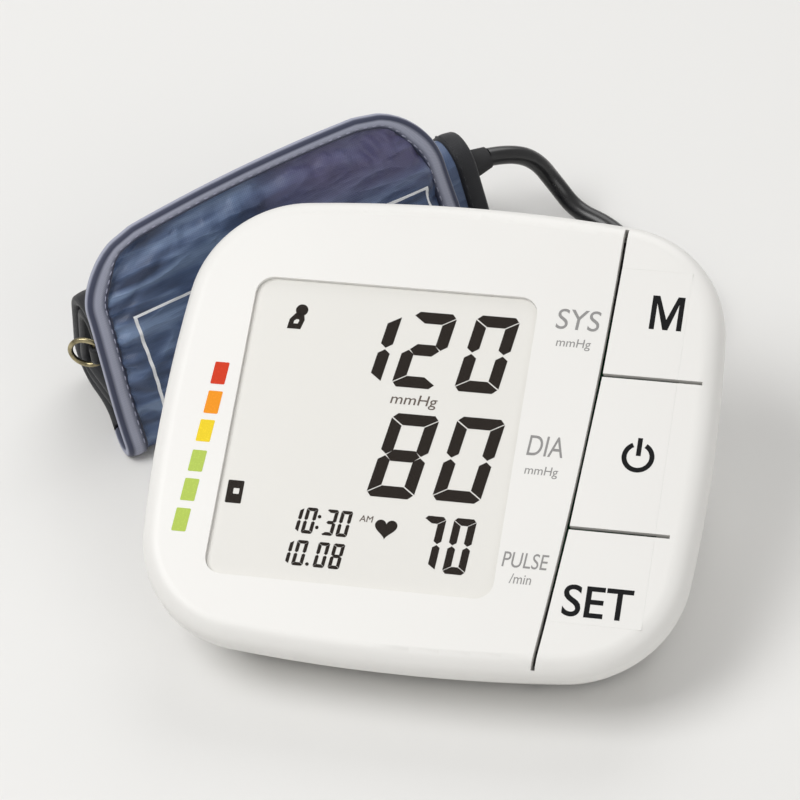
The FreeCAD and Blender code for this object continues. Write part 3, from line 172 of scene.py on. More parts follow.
def stroke(line, width):
    """Both sides of a pen line of even width along points: each point is moved both ways along its mitre."""
    line = np.asarray(line, float)
    one = line - np.vstack((line[:1], line[:-1]))
    two = np.vstack((line[1:], line[-1:])) - line
    one /= np.maximum(np.linalg.norm(one, axis=1, keepdims=True), 1e-12)
    two /= np.maximum(np.linalg.norm(two, axis=1, keepdims=True), 1e-12)
    along = one + two
    along /= np.maximum(np.linalg.norm(along, axis=1, keepdims=True), 1e-12)
    across = np.column_stack((-along[:, 1], along[:, 0]))
    reach = np.where(np.linalg.norm(one, axis=1) * np.linalg.norm(two, axis=1) > 0.5,
                     np.clip(np.abs(np.sum(along * two, 1)), 0.4, 1), 1.0)
    return line + across * (width / 2 / reach)[:, None], line - across * (width / 2 / reach)[:, None]


def pen(line, width, place, low, high):
    """A raised pen line in a place's own plane, as points and faces: its two sides low and then high, four
    bands of quads between them and a quad at each end."""
    one, two = stroke(line, width)
    count = len(one)
    heights = np.repeat((low, low, high, high), count)
    points = place.at(np.column_stack((np.vstack((one, two, one, two)), heights)))
    i = np.arange(count - 1)
    j, last = i + 1, count - 1
    bands = ((3 * count + i, 3 * count + j, 2 * count + j, 2 * count + i), (i, j, count + j, count + i),
             (j, 2 * count + j, 2 * count + i, i), (3 * count + i, 3 * count + j, count + j, count + i))
    ends = [[2 * count, 3 * count, count, 0], [count + last, 3 * count + last, 2 * count + last, last]]
    return points, band_faces(bands) + ends


def resampled(path, spacing):
    """Points a chosen spacing apart along a line of points, and how far along each one is."""
    length = np.concatenate(([0], np.cumsum(np.linalg.norm(np.diff(path, axis=0), axis=1))))
    keep = np.concatenate(([True], np.diff(length) > 1e-9))
    path, length = path[keep], length[keep]
    along = np.linspace(0, length[-1], max(2, int(round(length[-1] / spacing)) + 1))
    return np.column_stack([np.interp(along, length, path[:, axis]) for axis in range(path.shape[1])]), along


def ripple(x, y, cell, seed):
    """Smooth value noise from -1 to 1: random heights on a square lattice, blended between its corners."""
    table = np.random.default_rng(seed).uniform(-1, 1, (64, 64))
    x, y = np.asarray(x) / cell, np.asarray(y) / cell
    i, j = np.floor(x).astype(int), np.floor(y).astype(int)
    a, b = x - i, y - j
    a, b = a * a * (3 - 2 * a), b * b * (3 - 2 * b)
    return ((table[i % 64, j % 64] * (1 - a) + table[(i + 1) % 64, j % 64] * a) * (1 - b)
            + (table[i % 64, (j + 1) % 64] * (1 - a) + table[(i + 1) % 64, (j + 1) % 64] * a) * b)


def step(x, low, high):
    """0 below low, 1 above high and a smooth rise between."""
    t = np.clip((np.asarray(x, float) - low) / (high - low), 0, 1)
    return t * t * (3 - 2 * t)


def finish_piece(item, body, material):
    """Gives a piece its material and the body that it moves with."""
    item.data.materials.clear()
    item.data.materials.append(material)
    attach(item, body)
    return item


# ---------------------------------------------------------------- finishes


def new_finish(name, colour, roughness, metallic=0.0, **sockets):
    """A material of one shader, with its plain numbers set on the shader itself."""
    material = bpy.data.materials.new(name)
    material.use_nodes = True
    shader = material.node_tree.nodes["Principled BSDF"]
    shader.inputs["Base Color"].default_value = (*colour[:3], 1)
    shader.inputs["Roughness"].default_value = roughness
    shader.inputs["Metallic"].default_value = metallic
    for socket, number in sockets.items():
        shader.inputs[socket.replace("_", " ")].default_value = number
    return material


def add_node(material, kind, **settings):
    """A node with its properties set, and its inputs where a setting has an input's name."""
    node = material.node_tree.nodes.new(kind)
    for key, setting in settings.items():
        if key in node.inputs:
            node.inputs[key].default_value = setting
        else:
            setattr(node, key, setting)
    return node


def wire(material, source, target):
    """Joins one node's output to another's input."""
    material.node_tree.links.new(source, target)


def coordinates(material, kind="Object", scale=(1, 1, 1), turn=(0, 0, 0)):
    """The piece's own coordinates, scaled and turned for a pattern."""
    source = add_node(material, "ShaderNodeTexCoord")
    mapping = add_node(material, "ShaderNodeMapping")
    mapping.inputs["Scale"].default_value = scale
    mapping.inputs["Rotation"].default_value = turn
    wire(material, source.outputs[kind], mapping.inputs["Vector"])
    return mapping.outputs["Vector"]


def noise(material, vector, scale, detail=3.0, roughness=0.5):
    """Cloudy noise, about 0 to 1, at so many cells in a metre."""
    node = add_node(material, "ShaderNodeTexNoise")
    node.inputs["Scale"].default_value = scale
    node.inputs["Detail"].default_value = detail
    node.inputs["Roughness"].default_value = roughness
    wire(material, vector, node.inputs["Vector"])
    return node.outputs["Fac"]


def ramp(material, factor, *stops):
    """A colour ramp from pairs of position and colour."""
    node = add_node(material, "ShaderNodeValToRGB")
    elements = node.color_ramp.elements
    while len(elements) < len(stops):
        elements.new(0.5)
    for element, (position, colour) in zip(elements, stops):
        element.position = position
        element.color = (*colour[:3], 1)
    wire(material, factor, node.inputs["Fac"])
    return node.outputs["Color"]


def grey(level):
    return (level, level, level)


def set_bump(material, height, strength, distance, target=None):
    """Bump from a height, sent to the shader or to another bump's own normal."""
    node = add_node(material, "ShaderNodeBump", Strength=strength, Distance=distance)
    wire(material, height, node.inputs["Height"])
    shader = material.node_tree.nodes["Principled BSDF"]
    wire(material, node.outputs["Normal"], target or shader.inputs["Normal"])
    return node


def to_shader(material, output, socket):
    """Joins an output to the shader's socket of a name."""
    wire(material, output, material.node_tree.nodes["Principled BSDF"].inputs[socket])


def moulded(name, colour, roughness=0.42, grain=0.06, grain_size=1500, spread=0.015, **sockets):
    """Moulded plastic: a fine spark-eroded grain, and colour and gloss that drift slightly over the part."""
    material = new_finish(name, colour, roughness, **sockets)
    place = coordinates(material)
    drift = noise(material, place, 28, 2)
    low = [max(0, c * (1 - spread)) for c in colour[:3]]
    high = [min(1, c * (1 + spread)) for c in colour[:3]]
    to_shader(material, ramp(material, drift, (0.3, low), (0.7, high)), "Base Color")
    fine = noise(material, place, grain_size, 2)
    to_shader(material, ramp(material, fine, (0.25, grey(roughness - 0.05)), (0.75, grey(roughness + 0.05))),
              "Roughness")
    set_bump(material, fine, grain, 0.0001)
    return material


def rubber(name, colour, roughness=0.55, speck=900, **sockets):
    """Rubber: nearly even, with a fine mottle, and lighter where dust sits."""
    material = new_finish(name, colour, roughness, **sockets)
    place = coordinates(material)
    mottle = noise(material, place, speck, 3)
    dust = noise(material, place, 60, 4, 0.6)
    pale = [c + 0.012 for c in colour[:3]]
    to_shader(material, ramp(material, dust, (0.4, colour), (0.75, pale)), "Base Color")
    dusty = grey(min(1, roughness + 0.12))
    to_shader(material, ramp(material, dust, (0.35, grey(roughness)), (0.7, dusty)), "Roughness")
    set_bump(material, mottle, 0.12, 0.0001)
    return material


def metal(name, colour, roughness=0.3, brush=(1, 1, 1), tarnish=None):
    """Metal: fine drawn lines along one direction and a tarnish in patches."""
    material = new_finish(name, colour, roughness, 1.0)
    lines = noise(material, coordinates(material, "Object", brush), 700, 2)
    patches = noise(material, coordinates(material), 350, 3)
    dull = tarnish or [c * 0.82 for c in colour[:3]]
    to_shader(material, ramp(material, patches, (0.35, dull), (0.62, colour)), "Base Color")
    to_shader(material, ramp(material, lines, (0.3, grey(roughness * 0.8)), (0.7, grey(roughness * 1.35))),
              "Roughness")
    set_bump(material, lines, 0.08, 0.00005)
    return material


def woven(name, thread, dark, pitch, roughness=0.7, depth=0.35, stripes=None, sheer=None, **sockets):
    """Plain weave on the piece's UV map, in metres: two crossed waves at the thread pitch, raised where each
    thread lies on top, with painted shade towards the dark colour where a thread lies low, and slow colour
    drift along the cloth. Stripes, a width and a ramp's stops, colour a tape across its width. Three tones
    for the wrap, where given, paint highlights and shade along the creases of its cloth and a sheen near the
    flap's top, and the wrap's cloth also gets its printed frame."""
    material = new_finish(name, thread, roughness, **sockets)
    uv = coordinates(material, "UV")
    split = add_node(material, "ShaderNodeSeparateXYZ")
    wire(material, uv, split.inputs["Vector"])
    cross = add_node(material, "ShaderNodeMath", operation="MULTIPLY")
    for axis, target in zip("XY", cross.inputs):
        turn = add_node(material, "ShaderNodeMath", operation="MULTIPLY")
        turn.inputs[1].default_value = 2 * math.pi / pitch
        wire(material, split.outputs[axis], turn.inputs[0])
        wave = add_node(material, "ShaderNodeMath", operation="SINE")
        wire(material, turn.outputs[0], wave.inputs[0])
        wire(material, wave.outputs[0], target)
    height = add_node(material, "ShaderNodeMath", operation="MULTIPLY_ADD")
    height.inputs[1].default_value = height.inputs[2].default_value = 0.5
    wire(material, cross.outputs[0], height.inputs[0])
    weave = set_bump(material, height.outputs[0], depth, pitch * 0.4)
    if stripes:
        width, stops = stripes
        across = add_node(material, "ShaderNodeMath", operation="MULTIPLY")
        across.inputs[1].default_value = 1.0 / width
        wire(material, split.outputs["X"], across.inputs[0])
        tone = ramp(material, across.outputs[0], *stops)
    elif sheer:
        tone = painted_crease_light(material, split, thread, sheer, weave)
    else:
        low, high = ([c * share for c in thread[:3]] for share in (0.86, 1.12))
        tone = ramp(material, noise(material, uv, 45, 4, 0.6), (0.3, low), (0.7, high))
    # Painted shade: the colour is drawn up to 45% towards the dark colour where the weave's height is low
    # between threads.
    low = add_node(material, "ShaderNodeMath", operation="MULTIPLY_ADD")
    low.inputs[1].default_value, low.inputs[2].default_value = -0.45, 0.45
    wire(material, height.outputs[0], low.inputs[0])
    colour = mixed(material, low.outputs[0], tone, dark)
    if sheer:
        colour = mixed(material, border_print(material, split), colour, (0.86, 0.87, 0.89))
    to_shader(material, colour, "Base Color")
    return material


def mixed(material, factor, first, second):
    """A blend from a colour output to a plain colour."""
    node = add_node(material, "ShaderNodeMix", data_type="RGBA")
    wire(material, factor, node.inputs["Factor"])
    wire(material, first, node.inputs["A"])
    node.inputs["B"].default_value = (*second[:3], 1)
    return node.outputs["Result"]


def painted_crease_light(material, split, thread, tones, weave):
    """Painted highlights and shade on the cloth: streaks along X from a deep shaded tone to a light highlight
    tone, steered also by fine creases that bend the weave's own normal. From the flap's foot on to the roll
    the painted streaks grow fainter, and near its top on the right the cloth takes the third tone, a painted
    purple sheen."""
    # The deep tone is painted shade, the light tone a painted highlight and the top tone a painted sheen.
    deep, light, top = tones
    streak_light = noise(material, coordinates(material, "UV", (38, 190, 1), (0, 0, 0.6)), 1.0, 2, 0.5)
    creases = add_node(material, "ShaderNodeTexNoise", noise_type="RIDGED_MULTIFRACTAL", Scale=1.0,
                       Detail=2.0, Roughness=0.45, Offset=0.9, Gain=1.2)
    wire(material, coordinates(material, "UV", (48, 150, 1), (0, 0, 0.45)), creases.inputs["Vector"])
    set_bump(material, creases.outputs["Fac"], 0.5, 0.0010, weave.inputs["Normal"])
    both = add_node(material, "ShaderNodeMath", operation="MULTIPLY_ADD")
    both.inputs[1].default_value = 0.16
    wire(material, creases.outputs["Fac"], both.inputs[0])
    wire(material, streak_light, both.inputs[2])
    # Painted highlights and shade: creases and streaks pick a tone from the deep shade through the cloth's
    # own colour to the light highlight; from the flap's foot on, this painting fades towards the cloth's own
    # colour.
    tone = ramp(material, both.outputs[0], (0.45, deep), (0.60, thread), (0.78, light))
    tone = mixed(material, fade(material, split.outputs["Y"], 0.055, 0.080, 0, 0.72), tone, thread)
    # Painted sheen: near the flap's top on the right the cloth is drawn towards the purple third tone.
    top_sheen_mask = add_node(material, "ShaderNodeMath", operation="MULTIPLY")
    wire(material, fade(material, split.outputs["Y"], 0.012, 0.026, 0.8, 0), top_sheen_mask.inputs[0])
    wire(material, fade(material, split.outputs["X"], -0.012, 0.014, 0, 1), top_sheen_mask.inputs[1])
    return mixed(material, top_sheen_mask.outputs[0], tone, top)


def fade(material, value, start, stop, low, high):
    """A smooth change from low to high as a value goes from start to stop."""
    node = add_node(material, "ShaderNodeMapRange", interpolation_type="SMOOTHSTEP")
    for number, socket in zip((start, stop, low, high), ("From Min", "From Max", "To Min", "To Max")):
        node.inputs[socket].default_value = number
    wire(material, value, node.inputs["Value"])
    return node.outputs["Result"]


def border_print(material, split):
    """1 on a rectangle's line on the UV map, else 0: a point is on it where its distance outside the
    rectangle, the larger of |u - middle| - half width and |v - middle| - half height, is less than half the
    line."""
    outside = []
    for axis, middle, half in (("X", -0.0017, 0.0415), ("Y", 0.0373, 0.0137)):
        steps = (("SUBTRACT", middle), ("ABSOLUTE", 0), ("SUBTRACT", half))
        output = split.outputs[axis]
        for operation, number in steps:
            node = add_node(material, "ShaderNodeMath", operation=operation)
            node.inputs[1].default_value = number
            wire(material, output, node.inputs[0])
            output = node.outputs[0]
        outside.append(output)
    larger = add_node(material, "ShaderNodeMath", operation="MAXIMUM")
    for output, socket in zip(outside, larger.inputs):
        wire(material, output, socket)
    on_line = add_node(material, "ShaderNodeMath", operation="COMPARE")
    on_line.inputs[1].default_value, on_line.inputs[2].default_value = 0, 0.0004
    wire(material, larger.outputs[0], on_line.inputs[0])
    return on_line.outputs[0]


def look():
    """The colours and print sizes that a user may change."""
    return bpy.context.scene.monitor_look


FINISHES = {}


def finish(name, maker, *args, **settings):
    """The finish of a name, made once by its maker."""
    if name not in FINISHES:
        FINISHES[name] = maker(name, *args, **settings)
    return FINISHES[name]


def nylon():
    """The wrap's navy cloth, with painted highlights and shade along its creases and a painted purple sheen
    near the flap's top.
    """
    # Painted light: a deep shaded tone, a light highlight tone and a purple tone for the painted sheen.
    sheer = ((0.018, 0.036, 0.088), (0.205, 0.295, 0.470), (0.100, 0.082, 0.185))
    return finish("navy_nylon", woven, look().cloth_colour, (0.012, 0.016, 0.035), 0.0006, 0.42, 0.25,
                  sheer=sheer, Sheen_Weight=0.35, Sheen_Roughness=0.35, Sheen_Tint=(0.60, 0.60, 0.78, 1),
                  Specular_IOR_Level=0.6)


def edge_tape():
    """The flap's tape: its slate colour, with painted highlights as pale bands on its raised middle and round
    its rolled edge, and painted shade as dark bands at its ends, where it tucks against the cloth.
    """
    pale, mid, shade = (0.42, 0.44, 0.55), (0.042, 0.050, 0.095), (0.02, 0.024, 0.048)
    return finish("edge_tape", woven, (0.2, 0.21, 0.3), (0.02, 0.022, 0.04), 0.0005, 0.55, 0.3,
                  # The pale stops paint highlights and the shade stops at both ends paint shade.
                  stripes=(0.0094, [(0.0, shade), (0.10, mid), (0.22, pale), (0.32, pale), (0.40, mid),
                                    (0.52, mid), (0.60, pale), (0.72, pale), (0.80, mid), (1.0, shade)]),
                  Sheen_Weight=0.25, Sheen_Roughness=0.4, Sheen_Tint=(0.8, 0.8, 0.9, 1))


def black_tape():
    """The roll's tape and the ring's webbing."""
    return finish("black_tape", woven, (0.012, 0.013, 0.017), (0.003, 0.003, 0.004), 0.0006, 0.6, 0.35,
                  Sheen_Weight=0.12, Sheen_Roughness=0.4)


def ink(name, colour, roughness=0.6):
    """Printed ink: an even, matt colour that thins very slightly in fine specks."""
    material = new_finish(name, colour, roughness, Specular_IOR_Level=0.08)
    specks = noise(material, coordinates(material), 2500, 2)
    thin = [min(1, c * 1.15 + 0.004) for c in colour[:3]]
    to_shader(material, ramp(material, specks, (0.2, thin), (0.5, colour)), "Base Color")
    return material


# ---------------------------------------------------------------- sizes and colours a user may change


def colour_of(name, words, default):
    """A colour in the panel."""
    return bpy.props.FloatVectorProperty(name=name, description=words, subtype="COLOR", size=3, min=0, max=1,
                                         default=default)


def length_of(name, words, default, low=0.0, high=1.0):
    """A length in the panel."""
    return bpy.props.FloatProperty(name=name, description=words, default=default, min=low, max=high,
                                   unit="LENGTH", precision=4)


class MonitorLook(bpy.types.PropertyGroup):
    """Colours of the set and sizes of its printed parts."""
    shell_colour: colour_of("Shell", "Colour of the moulded shells and keys", (0.80, 0.79, 0.765))
    panel_colour: colour_of("Display panel", "Colour of the unlit display", (0.755, 0.742, 0.705))
    figure_colour: colour_of("Figures", "Colour of the display's dark segments", (0.012, 0.007, 0.004))
    ink_colour: colour_of("Key legends", "Colour of the ink on the keys", (0.010, 0.010, 0.011))
    pale_ink_colour: colour_of("Row legends", "Colour of the ink beside the display", (0.29, 0.285, 0.28))
    cloth_colour: colour_of("Cuff cloth", "Colour of the cuff's nylon", (0.072, 0.120, 0.240))
    floor_colour: colour_of("Floor", "Colour of the floor", (0.78, 0.775, 0.76))
    print_rise: length_of("Print rise", "How far printed ink stands above its surface", 0.00004, 0, 0.001)
    figure_width: length_of("Figure stroke", "Stroke width of the large figures", 0.0030, 0.0005, 0.006)


class CuffSizes(bpy.types.PropertyGroup):
    """Sizes of the rolled cuff."""
    padding: length_of("Padding", "Thickness of the wrap", 0.0030, 0.001, 0.006)
    pitch: length_of("Pitch", "Distance from one turn of the roll to the next", 0.0037, 0.002, 0.01)
    turns: bpy.props.FloatProperty(name="Turns", description="Turns in the roll", default=2.1, min=1, max=4)
    fold_depth: length_of("Folds", "Depth of the cloth's soft folds", 0.0008, 0, 0.003)
    tape_width: length_of("Tape", "How far the edge tape covers the cloth", 0.0043, 0.001, 0.01)


class HoseSizes(bpy.types.PropertyGroup):
    """Sizes of the air hose."""
    diameter: length_of("Diameter", "Outside diameter of the hose", 0.005, 0.002, 0.01)
    coil_outer: length_of("Coil", "Radius of the coil's outer turn", 0.028, 0.01, 0.1)


# ---------------------------------------------------------------- operators


class MONITOR_OT_stage(bpy.types.Operator):
    """Floor, lamps and camera"""
    bl_idname = "monitor.stage"
    bl_label = "Stage"

    def execute(self, context):
        scene = context.scene
        scene.view_settings.view_transform = "Standard"
        size = 3.0
        corners = np.array(((-size, -size, 0), (size, -size, 0), (size, size, 0), (-size, size, 0)))
        floor = add_mesh("floor", corners, [[0, 1, 2, 3]], False)
        floor.data.materials.append(new_finish("floor_paint", look().floor_colour, 0.75))
        world = bpy.data.worlds.new("studio")
        scene.world = world
        world.use_nodes = True
        world.node_tree.nodes["Background"].inputs["Color"].default_value = (1.0, 0.99, 0.975, 1)
        world.node_tree.nodes["Background"].inputs["Strength"].default_value = 0.41
        for name, at, width, power in (("key_lamp", (-0.55, -0.25, 1.0), 0.7, 8.0),
                                       ("fill_lamp", (0.9, -0.7, 0.7), 0.9, 3.0),
                                       ("back_lamp", (0.1, 0.9, 0.8), 0.8, 4.0)):
            light = bpy.data.lights.new(name, "AREA")
            light.size, light.energy = width, power
            lamp = bpy.data.objects.new(name, light)
            lamp.location = at
            lamp.rotation_euler = (Vector((0, 0, 0.02)) - Vector(at)).to_track_quat("-Z", "Y").to_euler()
            scene.collection.objects.link(lamp)
        # The camera stands to the right of straight ahead, looks down at the face's middle and leans a bit.
        # Its target is moved in its own picture plane, so that the set sits in the frame as it should.
        azimuth, elevation, roll, distance = math.radians(17.5), math.radians(45), math.radians(7.5), 0.9
        below_middle, aside, above = 0.0053, 0.0065, 0.0115
        back = Vector((math.sin(azimuth) * math.cos(elevation), -math.cos(azimuth) * math.cos(elevation),
                       math.sin(elevation)))
        right = Vector((math.cos(azimuth), math.sin(azimuth), 0))
        up = back.cross(right)
        side, top = right * math.cos(roll) - up * math.sin(roll), right * math.sin(roll) + up * math.cos(roll)
        target = Vector(FACE.at((0, -below_middle, 0))) - side * aside + top * above
        camera = bpy.data.objects.new("camera", bpy.data.cameras.new("camera"))
        matrix = Matrix((side, top, back)).transposed().to_4x4()
        matrix.translation = target + back * distance
        camera.matrix_world = matrix
        camera.data.lens = 168
        camera.data.sensor_width = 36
        camera.data.clip_start, camera.data.clip_end = 0.05, 20
        scene.collection.objects.link(camera)
        scene.camera = camera
        return {"FINISHED"}


class MONITOR_OT_hose(bpy.types.Operator):
    """Air hose from the cuff to its plug, with the spare length in a coil behind the unit"""
    bl_idname = "monitor.hose"
    bl_label = "Air hose"

    def execute(self, context):
        sizes = context.scene.hose_sizes
        thick = sizes.diameter
        run = [(-10.86, 118.16, 25.0), (-5.8, 122.2, 23.5), (0.3, 126.2, 18.3), (5.0, 126.4, 10.0),
               (11.3, 122.2, 4.3), (20.5, 118.7, 3.2), (27.2, 112.8, 2.5)]
        tail = [(12.5, 62.5, 11.8), (5.0, 66.2, 18.0), (-2.81, 65.7, 24.29)]
        # The coil: a flat spiral one hose thinner each turn, which climbs over its own first turn and lies on
        # top. A curve on points 30 degrees apart runs inside them, at cos 15 degrees of their radius.
        middle_x, middle_y, first_angle, inside = 0.0245, 0.0805, 45, 0.966
        climbs_from, climbs_to = 460, 700
        turned = np.arange(0, 861, 30.0)
        base = sizes.coil_outer - thick * turned / 360
        climb = np.radians(120) * step(turned, climbs_from, climbs_to)
        above = sizes.coil_outer - thick * (turned - 360) / 360
        radius = np.where(turned < climbs_from, base, above - thick * np.cos(climb)) / inside
        height = thick / 2 + np.where(turned < climbs_from, 0, thick * np.sin(climb))
        angle = np.radians(first_angle - turned)
        coil = np.column_stack((middle_x + radius * np.cos(angle), middle_y + radius * np.sin(angle), height))
        points = UNIT + np.vstack((np.array(run) / 1000, coil, np.array(tail) / 1000))
        curve = bpy.data.curves.new("air_hose", "CURVE")
        curve.dimensions = "3D"
        spline = curve.splines.new("NURBS")
        spline.points.add(len(points) - 1)
        spline.points.foreach_set("co", np.column_stack((points, np.ones(len(points)))).ravel())
        spline.order_u = 3
        spline.use_endpoint_u = True
        spline.resolution_u = 8
        curve.bevel_depth = thick / 2
        curve.bevel_resolution = 6
        hose = bpy.data.objects.new("air_hose", curve)
        context.scene.collection.objects.link(hose)
        black = finish("hose_rubber", rubber, (0.008, 0.008, 0.009), 0.26, 700, Coat_Weight=0.3,
                       Coat_Roughness=0.25)
        finish_piece(hose, "cuff_set", black)
        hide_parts("air_hose_run", "air_hose_coil", "air_hose_tail")
        return {"FINISHED"}


class MONITOR_OT_shells(bpy.types.Operator):
    """Finishes of the moulded, metal and rubber parts"""
    bl_idname = "monitor.shells"
    bl_label = "Shells and fittings"

    def execute(self, context):
        white = finish("moulded_white", moulded, look().shell_colour, 0.40, 0.05, 1800, 0.008)
        key_white = finish("key_white", moulded, look().shell_colour, 0.38, 0.05, 1800, 0.008)
        black = finish("moulded_black", moulded, (0.018, 0.018, 0.02), 0.42, 0.1)
        feet = finish("foot_rubber", rubber, (0.022, 0.022, 0.024), 0.75)
        steel = finish("plated_steel", metal, (0.62, 0.63, 0.65), 0.28)
        nickel = finish("nickel_plate", metal, (0.70, 0.69, 0.65), 0.22)
        clear = finish("clear_window", moulded, (0.93, 0.93, 0.91), 0.10, 0.02, 900, 0.004, Alpha=0.012,
                       Specular_IOR_Level=0.35)
        panel = finish("display_panel", moulded, look().panel_colour, 0.5, 0.02, 2600, 0.01)
        board = finish("board_lacquer", moulded, (0.012, 0.16, 0.06), 0.35, 0.2, 500, 0.15)
        grey_plastic = finish("grey_nylon", moulded, (0.20, 0.20, 0.21), 0.5, 0.1)
        tubing = finish("clear_tubing", rubber, (0.66, 0.66, 0.62), 0.3)
        grey_rubber = finish("grey_rubber", rubber, (0.10, 0.10, 0.105), 0.7)
        jacket = finish("cell_jacket", moulded, (0.03, 0.045, 0.07), 0.25, 0.03, 900, 0.05, Coat_Weight=0.4)
        brass = finish("aged_brass_wire", metal, (0.46, 0.40, 0.24), 0.30, (1, 1, 6), (0.20, 0.17, 0.10))
        groups = {
            white: ["front_housing", "rear_housing", "battery_door"],
            key_white: ["key_memory", "key_power", "key_set"],
            clear: ["display_window"], panel: ["lcd_panel"], board: ["main_board"],
            black: ["lcd_holder", "key_switches", "processor_chip", "buzzer", "air_pump_head", "air_socket",
                    "dc_socket", "air_plug"],
            feet: ["foot_1", "foot_2", "foot_3", "foot_4", "hose_grommet"],
            grey_rubber: ["lcd_connectors", "pump_cradle"],
            grey_plastic: ["pressure_sensor", "release_valve", "air_manifold"],
            steel: ["board_screws", "housing_screws", "air_pump_motor", "battery_springs"],
            nickel: ["battery_contacts"], tubing: ["inner_tubes"], brass: ["cuff_ring"],
            jacket: ["battery_cell_1", "battery_cell_2", "battery_cell_3", "battery_cell_4"],
        }
        for material, nodes in groups.items():
            for node in nodes:
                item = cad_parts[node]
                if not item.material_slots:
                    raise RuntimeError(f"{node} has no material slot")
                for place in item.material_slots:
                    place.material = material
        return {"FINISHED"}


def lettering(name, words, centre, height, width, place=FACE, level=0.0, weight=0.0, lean=0.0):
    """Words set in the plain built-in letters, made a mesh, fitted to a height and width, leaning so that u
    grows with v, and laid on a surface."""
    text = bpy.data.curves.new(name, "FONT")
    text.body = words
    text.extrude = 0.5
    text.offset = weight
    text.resolution_u = 6
    source = bpy.data.objects.new(name, text)
    bpy.context.scene.collection.objects.link(source)
    bpy.context.view_layer.update()
    mesh = bpy.data.meshes.new_from_object(source)
    bpy.data.objects.remove(source)
    points = np.empty(len(mesh.vertices) * 3)
    mesh.vertices.foreach_get("co", points)
    points = points.reshape(-1, 3)
    low, high = points[:, :2].min(0), points[:, :2].max(0)
    points[:, :2] = (points[:, :2] - (low + high) / 2) * (np.array((width, height)) / (high - low))
    points[:, 0] += lean * points[:, 1]
    points[:, :2] += centre
    points[:, 2] = np.where(points[:, 2] > 0, look().print_rise, -INK_DEPTH) + level
    mesh.vertices.foreach_set("co", place.at(points).ravel())
    mesh.update()
    item = bpy.data.objects.new(name, mesh)
    bpy.context.scene.collection.objects.link(item)
    return item


class MONITOR_OT_key_legends(bpy.types.Operator):
    """Legends on the three keys"""
    bl_idname = "monitor.key_legends"
    bl_label = "Key legends"

    def execute(self, context):
        black = finish("key_ink", ink, look().ink_colour)
        low, high = -INK_DEPTH, look().print_rise
        half, stem, rise, foot = 3.95, 1.25, 4.45, 0.62
        right_side = [(half, rise), (half, -rise), (half - stem, -rise), (half - stem, rise - 2.0),
                      (foot, -rise)]
        letter = [(0, rise - 6.2), (half - 1.7, rise)] + right_side
        letter += [(-u, v) for u, v in right_side[::-1]] + [(-half + 1.7, rise)]
        plate = slab((np.array(letter) + (53.1, 35.0)) * MM, FACE, low, high)
        finish_piece(join_plates("legend_memory", [plate]), "memory_key", black)
        letters = lettering("legend_set", "SET", (46.8 * MM, -40.3 * MM), 8.0 * MM, 16.6 * MM, weight=0.010)
        finish_piece(letters, "set_key", black)
        at = np.array((51.2, -2.8)) * MM
        plates = [pen(at + arc(0, 0, 3.35 * MM, 117, 423, 60), 1.2 * MM, FACE, low, high),
                  pen([at + (0, 4.9 * MM), at + (0, 0.3 * MM)], 1.15 * MM, FACE, low, high)]
        finish_piece(join_plates("legend_power", plates), "power_key", black)
        return {"FINISHED"}


class MONITOR_OT_face_print(bpy.types.Operator):
    """Row legends and the colour bar beside the display"""
    bl_idname = "monitor.face_print"
    bl_label = "Face print"

    def execute(self, context):
        pale = finish("row_ink", ink, look().pale_ink_colour)
        for name, words, u, v, width, height in (
                ("systolic", "SYS", 31.9, 31.3, 10.6, 5.4), ("systolic_unit", "mmHg", 31.5, 24.8, 8.4, 2.9),
                ("diastolic", "DIA", 28.9, -2.2, 8.8, 5.2), ("diastolic_unit", "mmHg", 28.6, -8.9, 8.0, 2.9),
                ("pulse", "PULSE", 28.2, -31.6, 10.8, 3.9), ("pulse_unit", "/min", 27.7, -36.3, 5.2, 2.5)):
            letters = lettering("legend_" + name, words, (u * MM, v * MM), height * MM, width * MM, lean=0.08)
            finish_piece(letters, "unit", pale)
        green, half, radius, lean = (0.45, 0.58, 0.11), 1.8, 0.3, 0.06
        red, orange, yellow = (0.62, 0.05, 0.02), (0.85, 0.30, 0.02), (0.83, 0.62, 0.03)
        blocks = (("red", -54.5, 9.3, 5.9, red), ("orange", -54.8, 1.5, 6.0, orange),
                  ("yellow", -55.4, -6.1, 5.8, yellow), ("green_1", -55.9, -14.1, 5.6, green),
                  ("green_2", -56.4, -21.7, 5.8, green), ("green_3", -57.1, -29.6, 6.0, green))
        for name, u, v, height, colour in blocks:
            outline = rounded(-half, -height / 2, half, height / 2, radius, 4)
            outline[:, 0] += outline[:, 1] * lean
            block = slab((outline + (u, v)) * MM, FACE, -INK_DEPTH, look().print_rise)
            item = join_plates("bar_" + name, [block])
            finish_piece(item, "unit", finish("bar_ink_" + name.split("_")[0], ink, colour))
        return {"FINISHED"}


SEGMENTS = {"0": "abcdef", "1": "bc", "2": "abged", "3": "abgcd", "7": "abc", "8": "abcdefg"}


